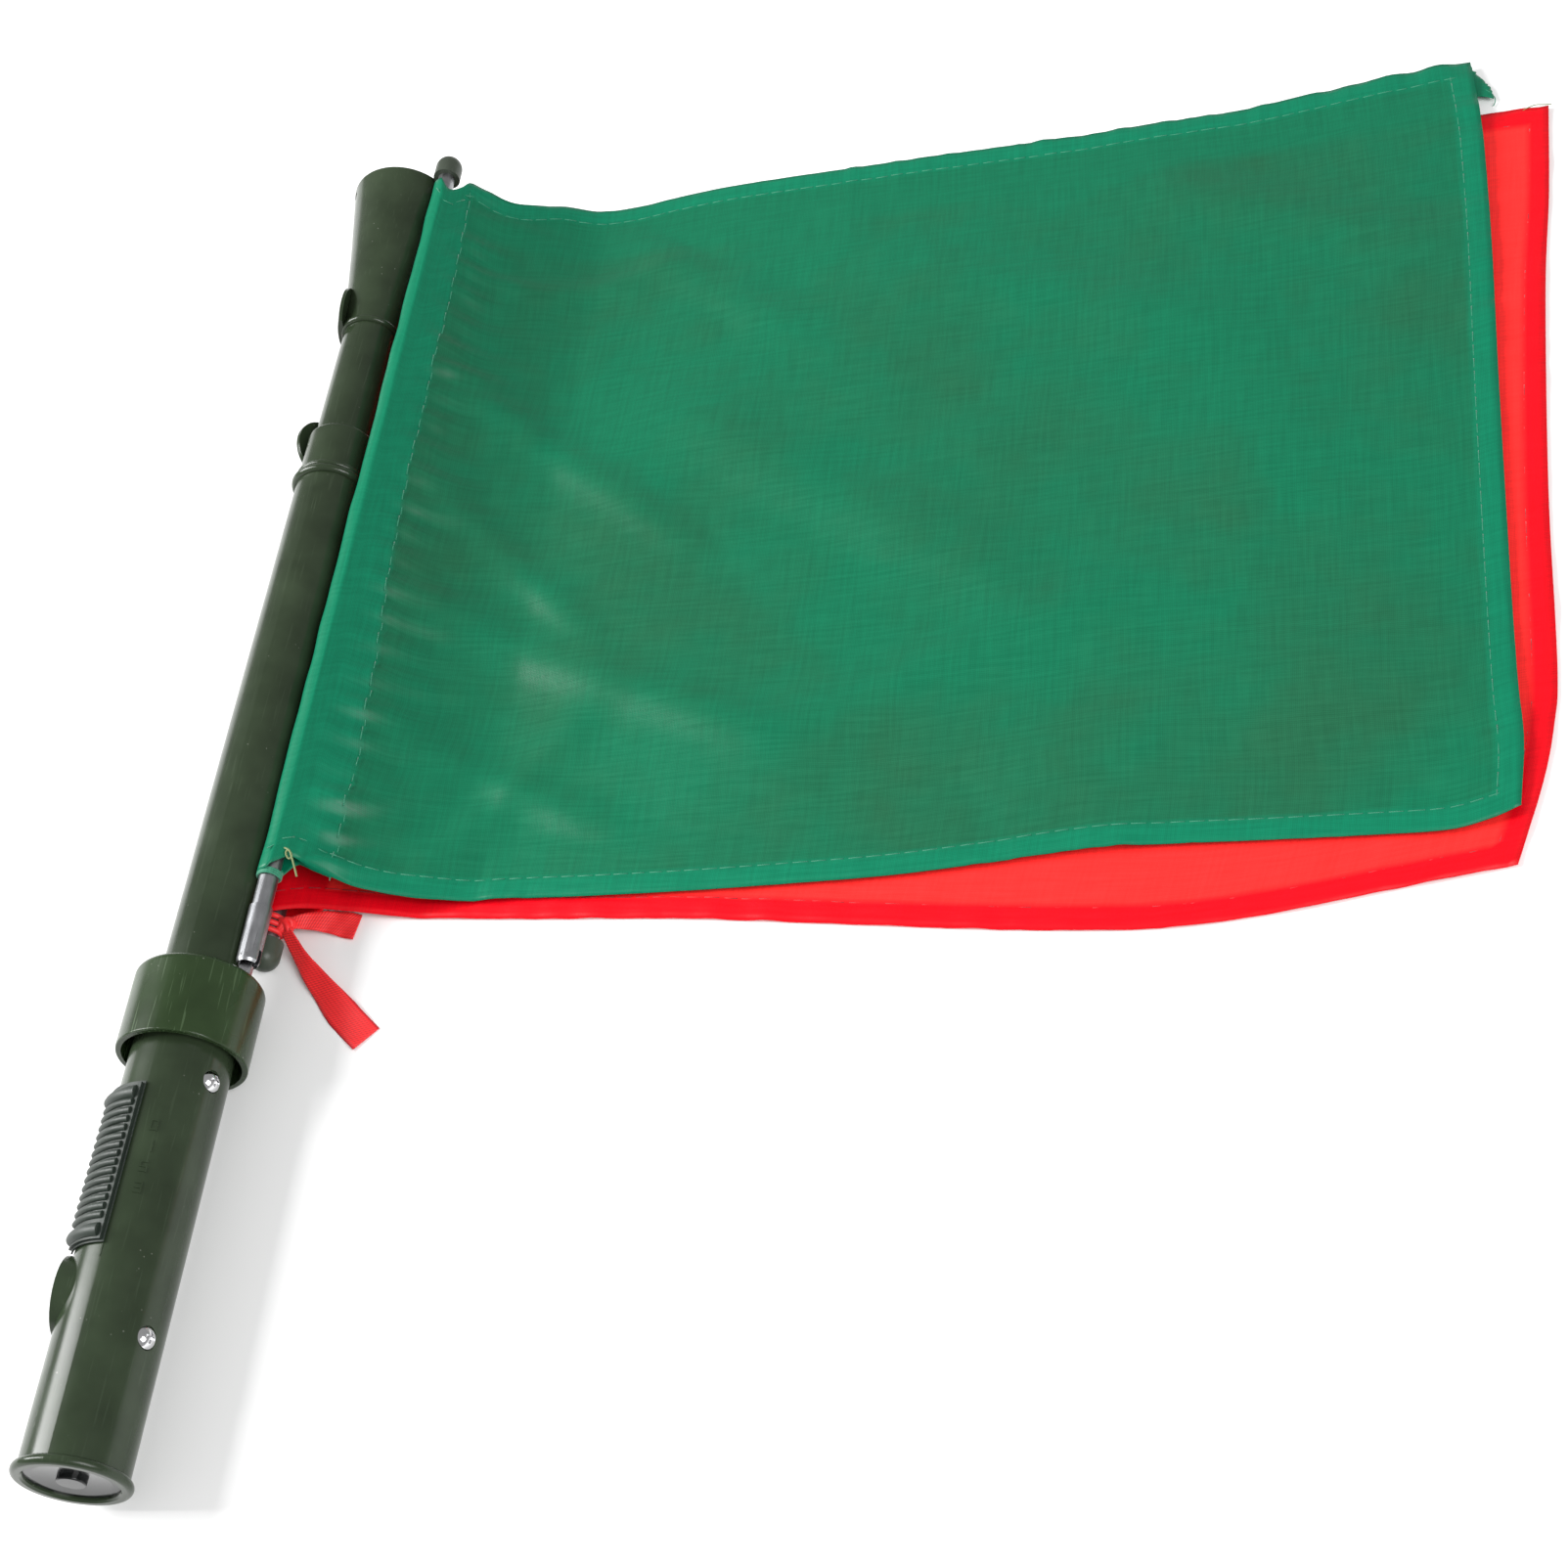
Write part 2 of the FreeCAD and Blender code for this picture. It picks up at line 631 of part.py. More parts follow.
def neck_clip_ring():
    y = MID_END - FERRULE_SPIGOT - 1.2
    return tube(y - 0.5, y + 0.5, NECK_CLIP_R, NECK_SPIGOT_R - 0.6)


def neck_clip():
    """Open ring that keeps the neck from pulling out of the ferrule."""
    return neck_clip_ring().cut(wedge(25, 30, MID_END - 20, MID_END))


def head_radius(y):
    """Outer radius of the trumpet, an arc that bows in towards the axis."""
    share = (y - HEAD_START) / (HEAD_END - HEAD_START)
    straight = HEAD_BASE_R + share * (HEAD_R - HEAD_BASE_R)
    return straight - HEAD_FLARE * 4 * share * (1 - share)


def trumpet(offset, y0, y1, steps=8):
    """Solid of revolution under the trumpet's side, moved in by offset."""
    ys = [y0 + (y1 - y0) * i / steps for i in range(steps + 1)]
    side = Part.BSplineCurve()
    side.interpolate([V(head_radius(y) - offset, y, 0) for y in ys])
    a, b = side.value(side.FirstParameter), side.value(side.LastParameter)
    rest = Part.makePolygon([b, V(0, b.y, 0), V(0, a.y, 0), a])
    return Part.Face(Part.Wire([side.toShape()] + rest.Edges)).revolve(ORIGIN, AXIS, 360)


def head_cone():
    body = trumpet(0, HEAD_START, HEAD_END)
    body = body.fuse(ring_bead(HEAD_START + HEAD_BEAD_R, HEAD_BASE_R - 0.35, HEAD_BEAD_R))
    body = body.fuse(head_boss())
    body = body.cut(along_y(HEAD_START - 1, HEAD_START + HEAD_BORE_DEPTH + 1, NECK_SPIGOT_R))
    body = body.cut(trumpet(HEAD_WALL, HEAD_START + HEAD_BORE_DEPTH, LENS_Y - 1))
    body = body.cut(along_y(LENS_Y - 1.2, LENS_Y + LENS_T + LENS_RING_T, LENS_SEAT_R))
    body = body.cut(trumpet(HEAD_WALL, LENS_Y + LENS_T + LENS_RING_T, HEAD_END))
    body = body.cut(at_azimuth(stud(10, 30, EYELET_R, LANYARD_Y), LANYARD_AZ))
    return body.cut(head_tab())


def lanyard_eyelet():
    """Round eyelet set flush in the trumpet's wall."""
    low, high = LANYARD_Y - EYELET_R - 0.4, LANYARD_Y + EYELET_R + 0.4
    wall = trumpet(0, low, high).cut(trumpet(HEAD_WALL, low - 0.5, high + 0.5))
    plug = at_azimuth(stud(10, 30, EYELET_R, LANYARD_Y), LANYARD_AZ).common(wall)
    return plug.cut(at_azimuth(stud(10, 30, LANYARD_HOLE_R, LANYARD_Y), LANYARD_AZ))


def head_boss():
    """Low rounded pad moulded on the trumpet's base."""
    rise = BOSS_TOP - head_radius(BOSS_Y) + 0.4
    ball_r = (BOSS_R ** 2 + rise ** 2) / (2 * rise)
    ball = Part.makeSphere(ball_r, V(BOSS_TOP - ball_r, BOSS_Y, 0))
    pad = stud(HEAD_BASE_R - 0.7, BOSS_TOP + 1, BOSS_R, BOSS_Y).common(ball)
    return at_azimuth(pad.cut(along_y(BOSS_Y - 20, HEAD_START + GAP, 30)), BOSS_AZ)


def lens():
    disc = along_y(LENS_Y, LENS_Y + LENS_T + LENS_DOME, LENS_SEAT_R - FIT)
    flat_r = LENS_SEAT_R - LENS_RING_W - FIT
    ball_r = (flat_r ** 2 + LENS_DOME ** 2) / (2 * LENS_DOME)
    ball = Part.makeSphere(ball_r, V(0, LENS_Y + LENS_T + LENS_DOME - ball_r, 0))
    dome = along_y(LENS_Y + LENS_T - 0.1, LENS_Y + LENS_T + LENS_DOME, flat_r).common(ball)
    return along_y(LENS_Y, LENS_Y + LENS_T, LENS_SEAT_R - FIT).fuse(dome).common(disc)


def lens_ring():
    y = LENS_Y + LENS_T
    return tube(y, y + LENS_RING_T, LENS_SEAT_R, LENS_SEAT_R - LENS_RING_W)


def reflector():
    """Bright bowl between the LEDs and the lens."""
    depth = LENS_Y - REFLECTOR_START
    mouth = min(LENS_SEAT_R - FIT, head_radius(LENS_Y - 1) - HEAD_WALL - FIT)
    outline = []
    for inset, order in ((0.0, 1), (REFLECTOR_T, -1)):
        side = []
        for i in range(7):
            share = i / 6
            r = REFLECTOR_BASE_R + (mouth - REFLECTOR_BASE_R) * share ** 0.8
            side.append((r - inset, REFLECTOR_START + depth * share))
        outline += side[::order]
    return spun(outline)


def led_board():
    return along_y(LED_BOARD_Y, LED_BOARD_Y + LED_BOARD_T, NECK_SPIGOT_R + 0.7)


def led(number):
    a = math.radians(90 + 120 * number)
    x, z = LED_CIRCLE_R * math.cos(a), LED_CIRCLE_R * math.sin(a)
    y0 = LED_BOARD_Y + LED_BOARD_T
    body = Part.makeCylinder(LED_R, LED_H - LED_R, V(x, y0, z), AXIS)
    return body.fuse(Part.makeSphere(LED_R, V(x, y0 + LED_H - LED_R, z)))


# Rods

class Rod:
    """Places pieces along one flag rod, from its hinge pin to its capped tip."""

    def __init__(self, pin, tip, tab_normal):
        self.pin = pin
        self.way = (tip - pin).normalize()
        self.length = (tip - pin).Length
        self.normal = tab_normal
        self.side = self.normal.cross(self.way).normalize()

    def at(self, distance):
        return self.pin + self.way * distance

    def round(self, d0, d1, radius):
        return Part.makeCylinder(radius, d1 - d0, self.at(d0), self.way)

    def slot(self):
        """Gap in the socket that the hinge tab stands in."""
        depth = TAB_R + 0.5
        box = Part.makeBox(2 * CAP_R, SOCKET_END + 1 + depth, TAB_T + 2 * FIT)
        box.translate(V(-CAP_R, -SOCKET_END - 1, -TAB_T / 2 - FIT))
        turn = FreeCAD.Rotation(self.side * -1, self.way, self.normal, "ZXY")
        box.Placement = FreeCAD.Placement(self.pin, turn).multiply(box.Placement)
        return box

    def socket(self):
        taper_top = SOCKET_TAPER - SOCKET_END
        nose = Part.makeCone(SOCKET_NOSE_R, SOCKET_R, SOCKET_TAPER, self.at(-SOCKET_END), self.way)
        body = self.round(taper_top, SOCKET_LENGTH - SOCKET_END, SOCKET_R).fuse(nose)
        body = body.cut(self.round(-SOCKET_END - 1, SOCKET_LENGTH, ROD_R))
        return body.cut(self.slot()).cut(self.hinge_pin())

    def hinge_pin(self):
        half = SOCKET_R - 0.05
        return Part.makeCylinder(PIN_R, 2 * half, self.pin - self.normal * half, self.normal)

    def tube(self):
        start = TAB_R + 0.6
        body = self.round(start, self.length + 1, ROD_R)
        return body.cut(self.round(start - 1, self.length + 2, ROD_R - ROD_WALL))

    def cap(self):
        """Round cap with a domed end and a blind bore for the rod."""
        low = -CAP_LENGTH / 2
        high = CAP_LENGTH / 2 - 1.0
        half = CAP_R * math.sqrt(0.5)
        dome = Part.Arc(V(CAP_R, 0, high), V(half, 0, high + half), V(0, 0, high + CAP_R))
        rest = [(0, high + CAP_R), (0, 1), (ROD_R, 1), (ROD_R, low), (CAP_R, low), (CAP_R, high)]
        edges = [dome.toShape()] + Part.makePolygon([V(r, 0, z) for r, z in rest]).Edges
        cap = Part.Face(Part.Wire(edges)).revolve(ORIGIN, UP, 360)
        turn = FreeCAD.Rotation(UP, self.way)
        cap.Placement = FreeCAD.Placement(self.at(self.length), turn)
        return cap


def tab_plate(pin, root, normal):
    """Rounded strip from its root to the hinge pin, with a running hole."""
    way = (root - pin).normalize()
    across = normal.cross(way).normalize()
    low = pin - normal * (TAB_T / 2)
    corners = [low + across * TAB_R, low - across * TAB_R]
    corners += [root - normal * (TAB_T / 2) - across * TAB_R, root - normal * (TAB_T / 2) + across * TAB_R]
    strip = Part.Face(Part.makePolygon(corners + corners[:1])).extrude(normal * TAB_T)
    plate = strip.fuse(Part.makeCylinder(TAB_R, TAB_T, low, normal))
    hole = Part.makeCylinder(PIN_R + RUN, TAB_T + 2, pin - normal * (TAB_T / 2 + 1), normal)
    return plate.cut(hole)


UP = V(0, 0, 1)
RED_AZ = math.degrees(math.atan2(RED_PIN.z, RED_PIN.x))
RED_NORMAL = (radial(RED_AZ + 90) + AXIS * RED_PIN_TILT).normalize()
GREEN_ROD = Rod(GREEN_PIN, GREEN_TIP, UP)
RED_ROD = Rod(RED_PIN, RED_TIP, RED_NORMAL)


def green_tab():
    root = V(GREEN_PIN.x, COLLAR_END - COLLAR_PLATE + 0.8, GREEN_PIN.z)
    return tab_plate(GREEN_PIN, root, UP)


def head_tab():
    root = radial(RED_AZ) * (head_radius(RED_PIN.y) - 1.0) + V(0, RED_PIN.y, 0)
    return tab_plate(RED_PIN, root, RED_NORMAL)


# Flags

def on_rod(rod, y):
    """Middle of a rod where it crosses a given y."""
    return rod.pin + rod.way * ((y - rod.pin.y) / rod.way.y)


def sheet_section(rod, y, land_x, low, far_x):
    """Outline of the cloth at one y, from the rod down to the table and outwards."""
    middle = on_rod(rod, y)
    top, bottom = middle.z + CLOTH / 2, middle.z - CLOTH / 2
    points = [(middle.x, top), (land_x, low + CLOTH), (far_x, low + CLOTH)]
    points += [(far_x, low), (land_x - CLOTH, low), (middle.x, bottom)]
    corners = [V(x, y, z) for x, z in points]
    return Part.makePolygon(corners + corners[:1])


def flag(rod, sleeve, outline, land_x, lift):
    """Sleeve round the rod and a sheet that comes down to the table."""
    low = TABLE_Z + lift
    ys = [y for _, y in outline] + list(sleeve)
    far_x = max(x for x, _ in outline) + 5
    ends = [sheet_section(rod, y, land_x, low, far_x) for y in (min(ys) - 5, max(ys) + 5)]
    cloth = Part.makeLoft(ends, True, True)
    root = [on_rod(rod, y) for y in sleeve]
    plan = [V(root[0].x, sleeve[0], -60)]
    plan += [V(x, y, -60) for x, y in outline]
    plan += [V(root[1].x, sleeve[1], -60)]
    cloth = cloth.common(Part.Face(Part.makePolygon(plan + plan[:1])).extrude(V(0, 0, 120)))
    bore_r = ROD_R + SLEEVE_GAP
    cloth = cloth.fuse(bar(root[0], root[1], bore_r + CLOTH))
    reach = rod.way * (10 if rod.way.y > 0 else -10)
    return cloth.cut(bar(root[0] - reach, root[1] + reach, bore_r))


def green_flag():
    return flag(GREEN_ROD, GREEN_SLEEVE, GREEN_OUTLINE, GREEN_LAND_X, GREEN_LIFT)


def red_flag():
    return flag(RED_ROD, RED_SLEEVE, RED_OUTLINE, RED_LAND_X, 0.0)


def strip(route, width, thickness):
    """Flat ribbon along a list of points, level across its width and gathered at its start."""
    ends = []
    for i, point in enumerate(route):
        way = route[min(i + 1, len(route) - 1)] - route[max(i - 1, 0)]
        side = V(way.y, -way.x, 0).normalize() * (width / 2 if i else GATHERED_W / 2)
        lift = V(0, 0, thickness / 2)
        corners = [point + side + lift, point - side + lift, point - side - lift, point + side - lift]
        ends.append(Part.makePolygon(corners + corners[:1]))
    return Part.makeLoft(ends, True, True)


def band_ring(outer_extra=0.0):
    middle = on_rod(RED_ROD, BAND_Y)
    way = RED_ROD.way * (BAND_W / 2)
    return bar(middle - way, middle + way, ROD_R + 0.9 + outer_extra)


def tie_band():
    """Loop of the ribbon round the rod, just under the red flag's sleeve."""
    middle = on_rod(RED_ROD, BAND_Y)
    reach = RED_ROD.way * BAND_W
    return band_ring().cut(bar(middle - reach, middle + reach, ROD_R))


def ribbon_knot():
    start = RIBBON_ROUTE[0]
    ball = Part.makeSphere(KNOT_R, V(start.x - 1.6, BAND_Y - 0.5, start.z - 0.4))
    return ball.cut(band_ring())


def tie_ribbon():
    return strip(RIBBON_ROUTE, RIBBON_W, RIBBON_T).cut(band_ring()).cut(ribbon_knot())


def ribbon_tail():
    body = strip(RIBBON_TAIL_ROUTE, RIBBON_W * 0.7, RIBBON_T)
    return body.cut(band_ring()).cut(ribbon_knot()).cut(tie_ribbon())


def tie_thread():
    """Thread tied round the rod at the lower end of the green sleeve."""
    middle = on_rod(GREEN_ROD, THREAD_Y)
    return Part.makeTorus(ROD_R + THREAD_R, THREAD_R, middle, GREEN_ROD.way)


def build_parts():
    """Every piece of the lamp by its node's name, in the working frame."""
    parts = {
        "handle_tube": handle_tube(),
        "handle_screws": handle_screws(),
        "chassis": chassis(),
        "battery_cell_rear": battery_cell(0),
        "battery_cell_front": battery_cell(1),
        "front_contact": front_contact(),
        "switch_board": switch_board(),
        "switch_contacts": switch_contacts(),
        "button_bezel": button_bezel(),
        "button_board": button_board(),
        "button_switch": button_switch(),
        "middle_tube": middle_tube(),
        "collar_snap_ring": collar_snap_ring(),
        "ferrule": ferrule(),
        "magnet_cup": magnet_cup(),
        "holding_magnet": holding_magnet(),
        "lamp_lead": lamp_lead(),
        "thumb_slider": thumb_slider(),
        "slider_carriage": slider_carriage(),
        "slider_wiper": slider_wiper(),
        "side_button": side_button(),
        "tail_plug": tail_plug(),
        "tail_seal": seal_ring(),
        "plug_stud": plug_stud(),
        "battery_spring": battery_spring(),
        "collar": collar(),
        "green_pivot_tab": green_tab(),
        "green_rod": GREEN_ROD.tube(),
        "green_rod_socket": GREEN_ROD.socket(),
        "green_pivot_pin": GREEN_ROD.hinge_pin(),
        "green_rod_cap": GREEN_ROD.cap(),
        "green_flag": green_flag(),
        "tie_thread": tie_thread(),
        "neck_tube": neck_tube(),
        "neck_clip": neck_clip(),
        "head_cone": head_cone(),
        "lanyard_eyelet": lanyard_eyelet(),
        "lens": lens(),
        "lens_ring": lens_ring(),
        "reflector": reflector(),
        "led_board": led_board(),
        "red_pivot_tab": head_tab(),
        "red_rod": RED_ROD.tube(),
        "red_rod_socket": RED_ROD.socket(),
        "red_pivot_pin": RED_ROD.hinge_pin(),
        "red_rod_cap": RED_ROD.cap(),
        "red_flag": red_flag(),
        "tie_band": tie_band(),
        "ribbon_knot": ribbon_knot(),
        "tie_ribbon": tie_ribbon(),
        "ribbon_tail": ribbon_tail(),
    }
    for number, colour in enumerate(("red", "yellow", "green")):
        parts["led_" + colour] = led(number)
    return parts


def row_shift(parts):
    """Move that puts the middle of the lamp's underside at the origin."""
    box = FreeCAD.BoundBox()
    for shape in parts.values():
        box.add(shape.optimalBoundingBox(False, False))
    return V(-box.Center.x, -box.Center.y, -box.ZMin)


def main():
    os.makedirs("parts", exist_ok=True)
    parts = build_parts()
    shift = row_shift(parts)
    for name, shape in parts.items():
        shape.translate(shift)
        shape.exportStep("parts/" + name + ".step")
        print(name, len(shape.Solids), round(shape.Volume, 1), shape.isValid())


if __name__ == "__main__":
    main()
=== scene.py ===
"""Looks of a hand signal lamp with a green and a red flag.

Shapes are in mm from the lamp's axis at the handle's end, which at() turns into metres in the
model's frame. Materials, node inputs, the table and the lights are in metres.
"""
import json
import math

import bpy
from mathutils import Matrix, Vector, noise


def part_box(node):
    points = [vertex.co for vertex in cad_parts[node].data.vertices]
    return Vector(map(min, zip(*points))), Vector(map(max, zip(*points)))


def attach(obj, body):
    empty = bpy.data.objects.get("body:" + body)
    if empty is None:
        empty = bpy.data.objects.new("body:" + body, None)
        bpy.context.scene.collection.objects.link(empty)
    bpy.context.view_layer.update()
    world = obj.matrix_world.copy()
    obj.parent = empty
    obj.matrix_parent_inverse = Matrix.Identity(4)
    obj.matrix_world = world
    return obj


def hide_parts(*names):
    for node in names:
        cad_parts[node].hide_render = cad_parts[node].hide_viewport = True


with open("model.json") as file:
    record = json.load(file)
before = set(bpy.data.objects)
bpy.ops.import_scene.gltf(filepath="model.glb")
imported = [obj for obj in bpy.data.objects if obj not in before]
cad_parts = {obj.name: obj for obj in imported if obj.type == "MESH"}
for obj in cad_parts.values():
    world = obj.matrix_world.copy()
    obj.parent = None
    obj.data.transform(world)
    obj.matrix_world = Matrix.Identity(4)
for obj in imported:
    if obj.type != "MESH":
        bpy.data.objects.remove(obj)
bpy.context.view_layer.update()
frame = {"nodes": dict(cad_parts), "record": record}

MM = 0.001
TURN = 2 * math.pi

# The lamp's own axis: x and z at the middle of the collar, y at the handle's end face
collar_low, collar_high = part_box("collar")
handle_low, handle_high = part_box("handle_tube")
ORIGIN = Vector((
    (collar_low[0] + collar_high[0]) / 2,
    handle_low[1],
    (collar_low[2] + collar_high[2]) / 2,
))
TABLE = -ORIGIN.z / MM        # height of the table under the lamp's axis, in mm


def at(x, y, z):
    """A point given in mm from the lamp's axis at the handle's end."""
    return ORIGIN + Vector((x, y, z)) * MM


# ---------------------------------------------------------------- camera

CAMERA_PLACE = (359.75, -216.16, 602.0)         # as at() takes it; the others are directions
CAMERA_RIGHT = (0.96810, 0.09957, -0.2301)
CAMERA_BACK = (0.24534, -0.56441, 0.7882)


def set_camera():
    data = bpy.data.cameras.new("camera")
    data.sensor_width = 36.0
    data.lens = 59.6
    data.clip_start = 0.01
    camera = bpy.data.objects.new("camera", data)
    right = Vector(CAMERA_RIGHT).normalized()
    back = Vector(CAMERA_BACK)
    back = (back - right * back.dot(right)).normalized()
    up = back.cross(right)
    turn = Matrix((right, up, back)).transposed().to_4x4()
    camera.matrix_world = Matrix.Translation(at(*CAMERA_PLACE)) @ turn
    bpy.context.scene.collection.objects.link(camera)
    bpy.context.scene.camera = camera


set_camera()


# ---------------------------------------------------------------- materials

class Nodes:
    """Short way to build one material's node tree."""

    def __init__(self, name):
        self.material = bpy.data.materials.new(name)
        self.material.use_nodes = True
        self.tree = self.material.node_tree
        self.tree.nodes.clear()
        self.out = self.add("ShaderNodeOutputMaterial")
        self.place = self.add("ShaderNodeTexCoord").outputs["Object"]

    def add(self, kind, links=None, **settings):
        node = self.tree.nodes.new(kind)
        for key, value in settings.items():
            setattr(node, key, value)
        for key, value in (links or {}).items():
            socket = node.inputs[key]
            if isinstance(value, bpy.types.NodeSocket):
                self.tree.links.new(value, socket)
            else:
                socket.default_value = value
        return node

    def math(self, operation, a, b=0.0):
        return self.add("ShaderNodeMath", {0: a, 1: b}, operation=operation).outputs[0]

    def grey(self, value):
        links = {"Red": value, "Green": value, "Blue": value}
        return self.add("ShaderNodeCombineColor", links).outputs[0]

    def mapped(self, scale=(1, 1, 1), source=None, turn=(0, 0, 0)):
        links = {"Vector": source or self.place, "Scale": scale, "Rotation": turn}
        return self.add("ShaderNodeMapping", links).outputs[0]

    def noise(self, scale, detail=2.0, rough=0.5, source=None):
        links = {"Vector": source or self.place, "Scale": scale, "Detail": detail, "Roughness": rough}
        return self.add("ShaderNodeTexNoise", links).outputs["Fac"]

    def ramp(self, value, stops):
        node = self.add("ShaderNodeValToRGB", {"Fac": value})
        points = node.color_ramp.elements
        while len(points) < len(stops):
            points.new(0.5)
        for point, (where, colour) in zip(points, stops):
            point.position = where
            point.color = colour if len(colour) == 4 else (*colour, 1.0)
        return node.outputs["Color"]

    def level(self, value, low, high, to_low=0.0, to_high=1.0):
        links = {"Value": value, "From Min": low, "From Max": high, "To Min": to_low, "To Max": to_high}
        return self.add("ShaderNodeMapRange", links).outputs["Result"]

    def blend(self, share, a, b, how="MIX"):
        node = self.add("ShaderNodeMix", data_type="RGBA", blend_type=how)
        sockets = {"Factor": share, "A": a, "B": b}
        for socket in node.inputs:
            if socket.enabled and socket.name in sockets:
                value = sockets[socket.name]
                if isinstance(value, bpy.types.NodeSocket):
                    self.tree.links.new(value, socket)
                elif socket.name == "Factor":
                    socket.default_value = value
                else:
                    socket.default_value = (*value, 1.0)
        return [s for s in node.outputs if s.enabled][0]

    def bump(self, height, distance, strength=1.0, normal=None):
        links = {"Height": height, "Distance": distance, "Strength": strength}
        if normal is not None:
            links["Normal"] = normal
        return self.add("ShaderNodeBump", links).outputs["Normal"]

    def finish(self, **inputs):
        """Give the shader its inputs, with _ for each space in a name, and return the material."""
        names = {key.replace("_", " "): value for key, value in inputs.items()}
        shader = self.add("ShaderNodeBsdfPrincipled")
        for key, value in names.items():
            socket = shader.inputs[key]
            if isinstance(value, bpy.types.NodeSocket):
                self.tree.links.new(value, socket)
            elif key in ("Base Color", "Emission Color", "Sheen Tint", "Specular Tint"):
                socket.default_value = (*value, 1.0)
            else:
                socket.default_value = value
        self.tree.links.new(shader.outputs[0], self.out.inputs["Surface"])
        return self.material


def moulded_plastic(name, colour, rough=0.22, dust=0.5, scratches=0.3):
    """Glossy moulded plastic with flow marks, fine scratches and specks of dust."""
    n = Nodes(name)
    cloud = n.noise(60, 3)
    fine = n.noise(900, 2)
    darker = tuple(c * 0.8 for c in colour)
    lighter = tuple(min(1, c * 1.22 + 0.002) for c in colour)
    body = n.ramp(cloud, [(0.3, darker), (0.7, lighter)])
    along = n.mapped((900, 40, 900))
    hair = n.noise(1.0, 1, 0.5, n.mapped((1400, 60, 1400), turn=(0, 0, 0.35)))
    lines = n.level(hair, 0.66, 0.72)
    rub = n.level(n.noise(1.0, 1, 0.5, along), 0.68, 0.74)
    marks = n.math("MULTIPLY", n.math("MAXIMUM", lines, rub), scratches)
    worn = n.blend(marks, body, tuple(min(1, c * 2.6 + 0.03) for c in colour))
    cells = n.add("ShaderNodeTexVoronoi", {"Vector": n.place, "Scale": 420.0}).outputs["Distance"]
    keep = n.level(n.noise(90, 1), 0.58, 0.66)
    speck = n.math("MULTIPLY", n.math("LESS_THAN", cells, 0.085), n.math("MULTIPLY", keep, dust))
    base = n.blend(speck, worn, (0.30, 0.31, 0.27))
    sheen = n.level(n.noise(35, 3), 0.3, 0.7, rough * 0.8, rough * 1.35)
    gloss = n.math("ADD", sheen, n.math("MULTIPLY", marks, 0.25))
    normal = n.bump(fine, 0.00002, 0.35)
    normal = n.bump(n.math("SUBTRACT", 1.0, marks), 0.00003, 0.5, normal)
    return n.finish(Base_Color=base, Roughness=gloss, Normal=normal, Specular_IOR_Level=0.27)


def grained_plastic(name, colour, rough=0.5, grain=0.00005):
    """Plastic with a fine spark-eroded grain."""
    n = Nodes(name)
    grains = n.noise(2600, 3, 0.7)
    darker = tuple(c * 0.82 for c in colour)
    lighter = tuple(c * 1.2 for c in colour)
    base = n.ramp(n.noise(120, 3), [(0.3, darker), (0.7, lighter)])
    shine = n.level(grains, 0.3, 0.7, rough * 0.85, rough * 1.2)
    return n.finish(Base_Color=base, Roughness=shine, Normal=n.bump(grains, grain, 0.8), IOR=1.48)


def drawn_metal(name, colour, rough=0.28, along=(1, 0.02, 1), grain=0.00001, tarnish=0.25):
    """Metal with fine lines along the way it was drawn or turned."""
    n = Nodes(name)
    lines = n.noise(1.0, 3, 0.6, n.mapped(tuple(4000 * a for a in along)))
    stain = n.noise(150, 4, 0.6)
    dull = tuple(c * (1 - tarnish) for c in colour)
    base = n.blend(n.level(stain, 0.35, 0.75), colour, dull)
    shine = n.level(lines, 0.25, 0.75, rough * 0.7, rough * 1.4)
    return n.finish(Base_Color=base, Metallic=1.0, Roughness=shine, Normal=n.bump(lines, grain, 0.5))


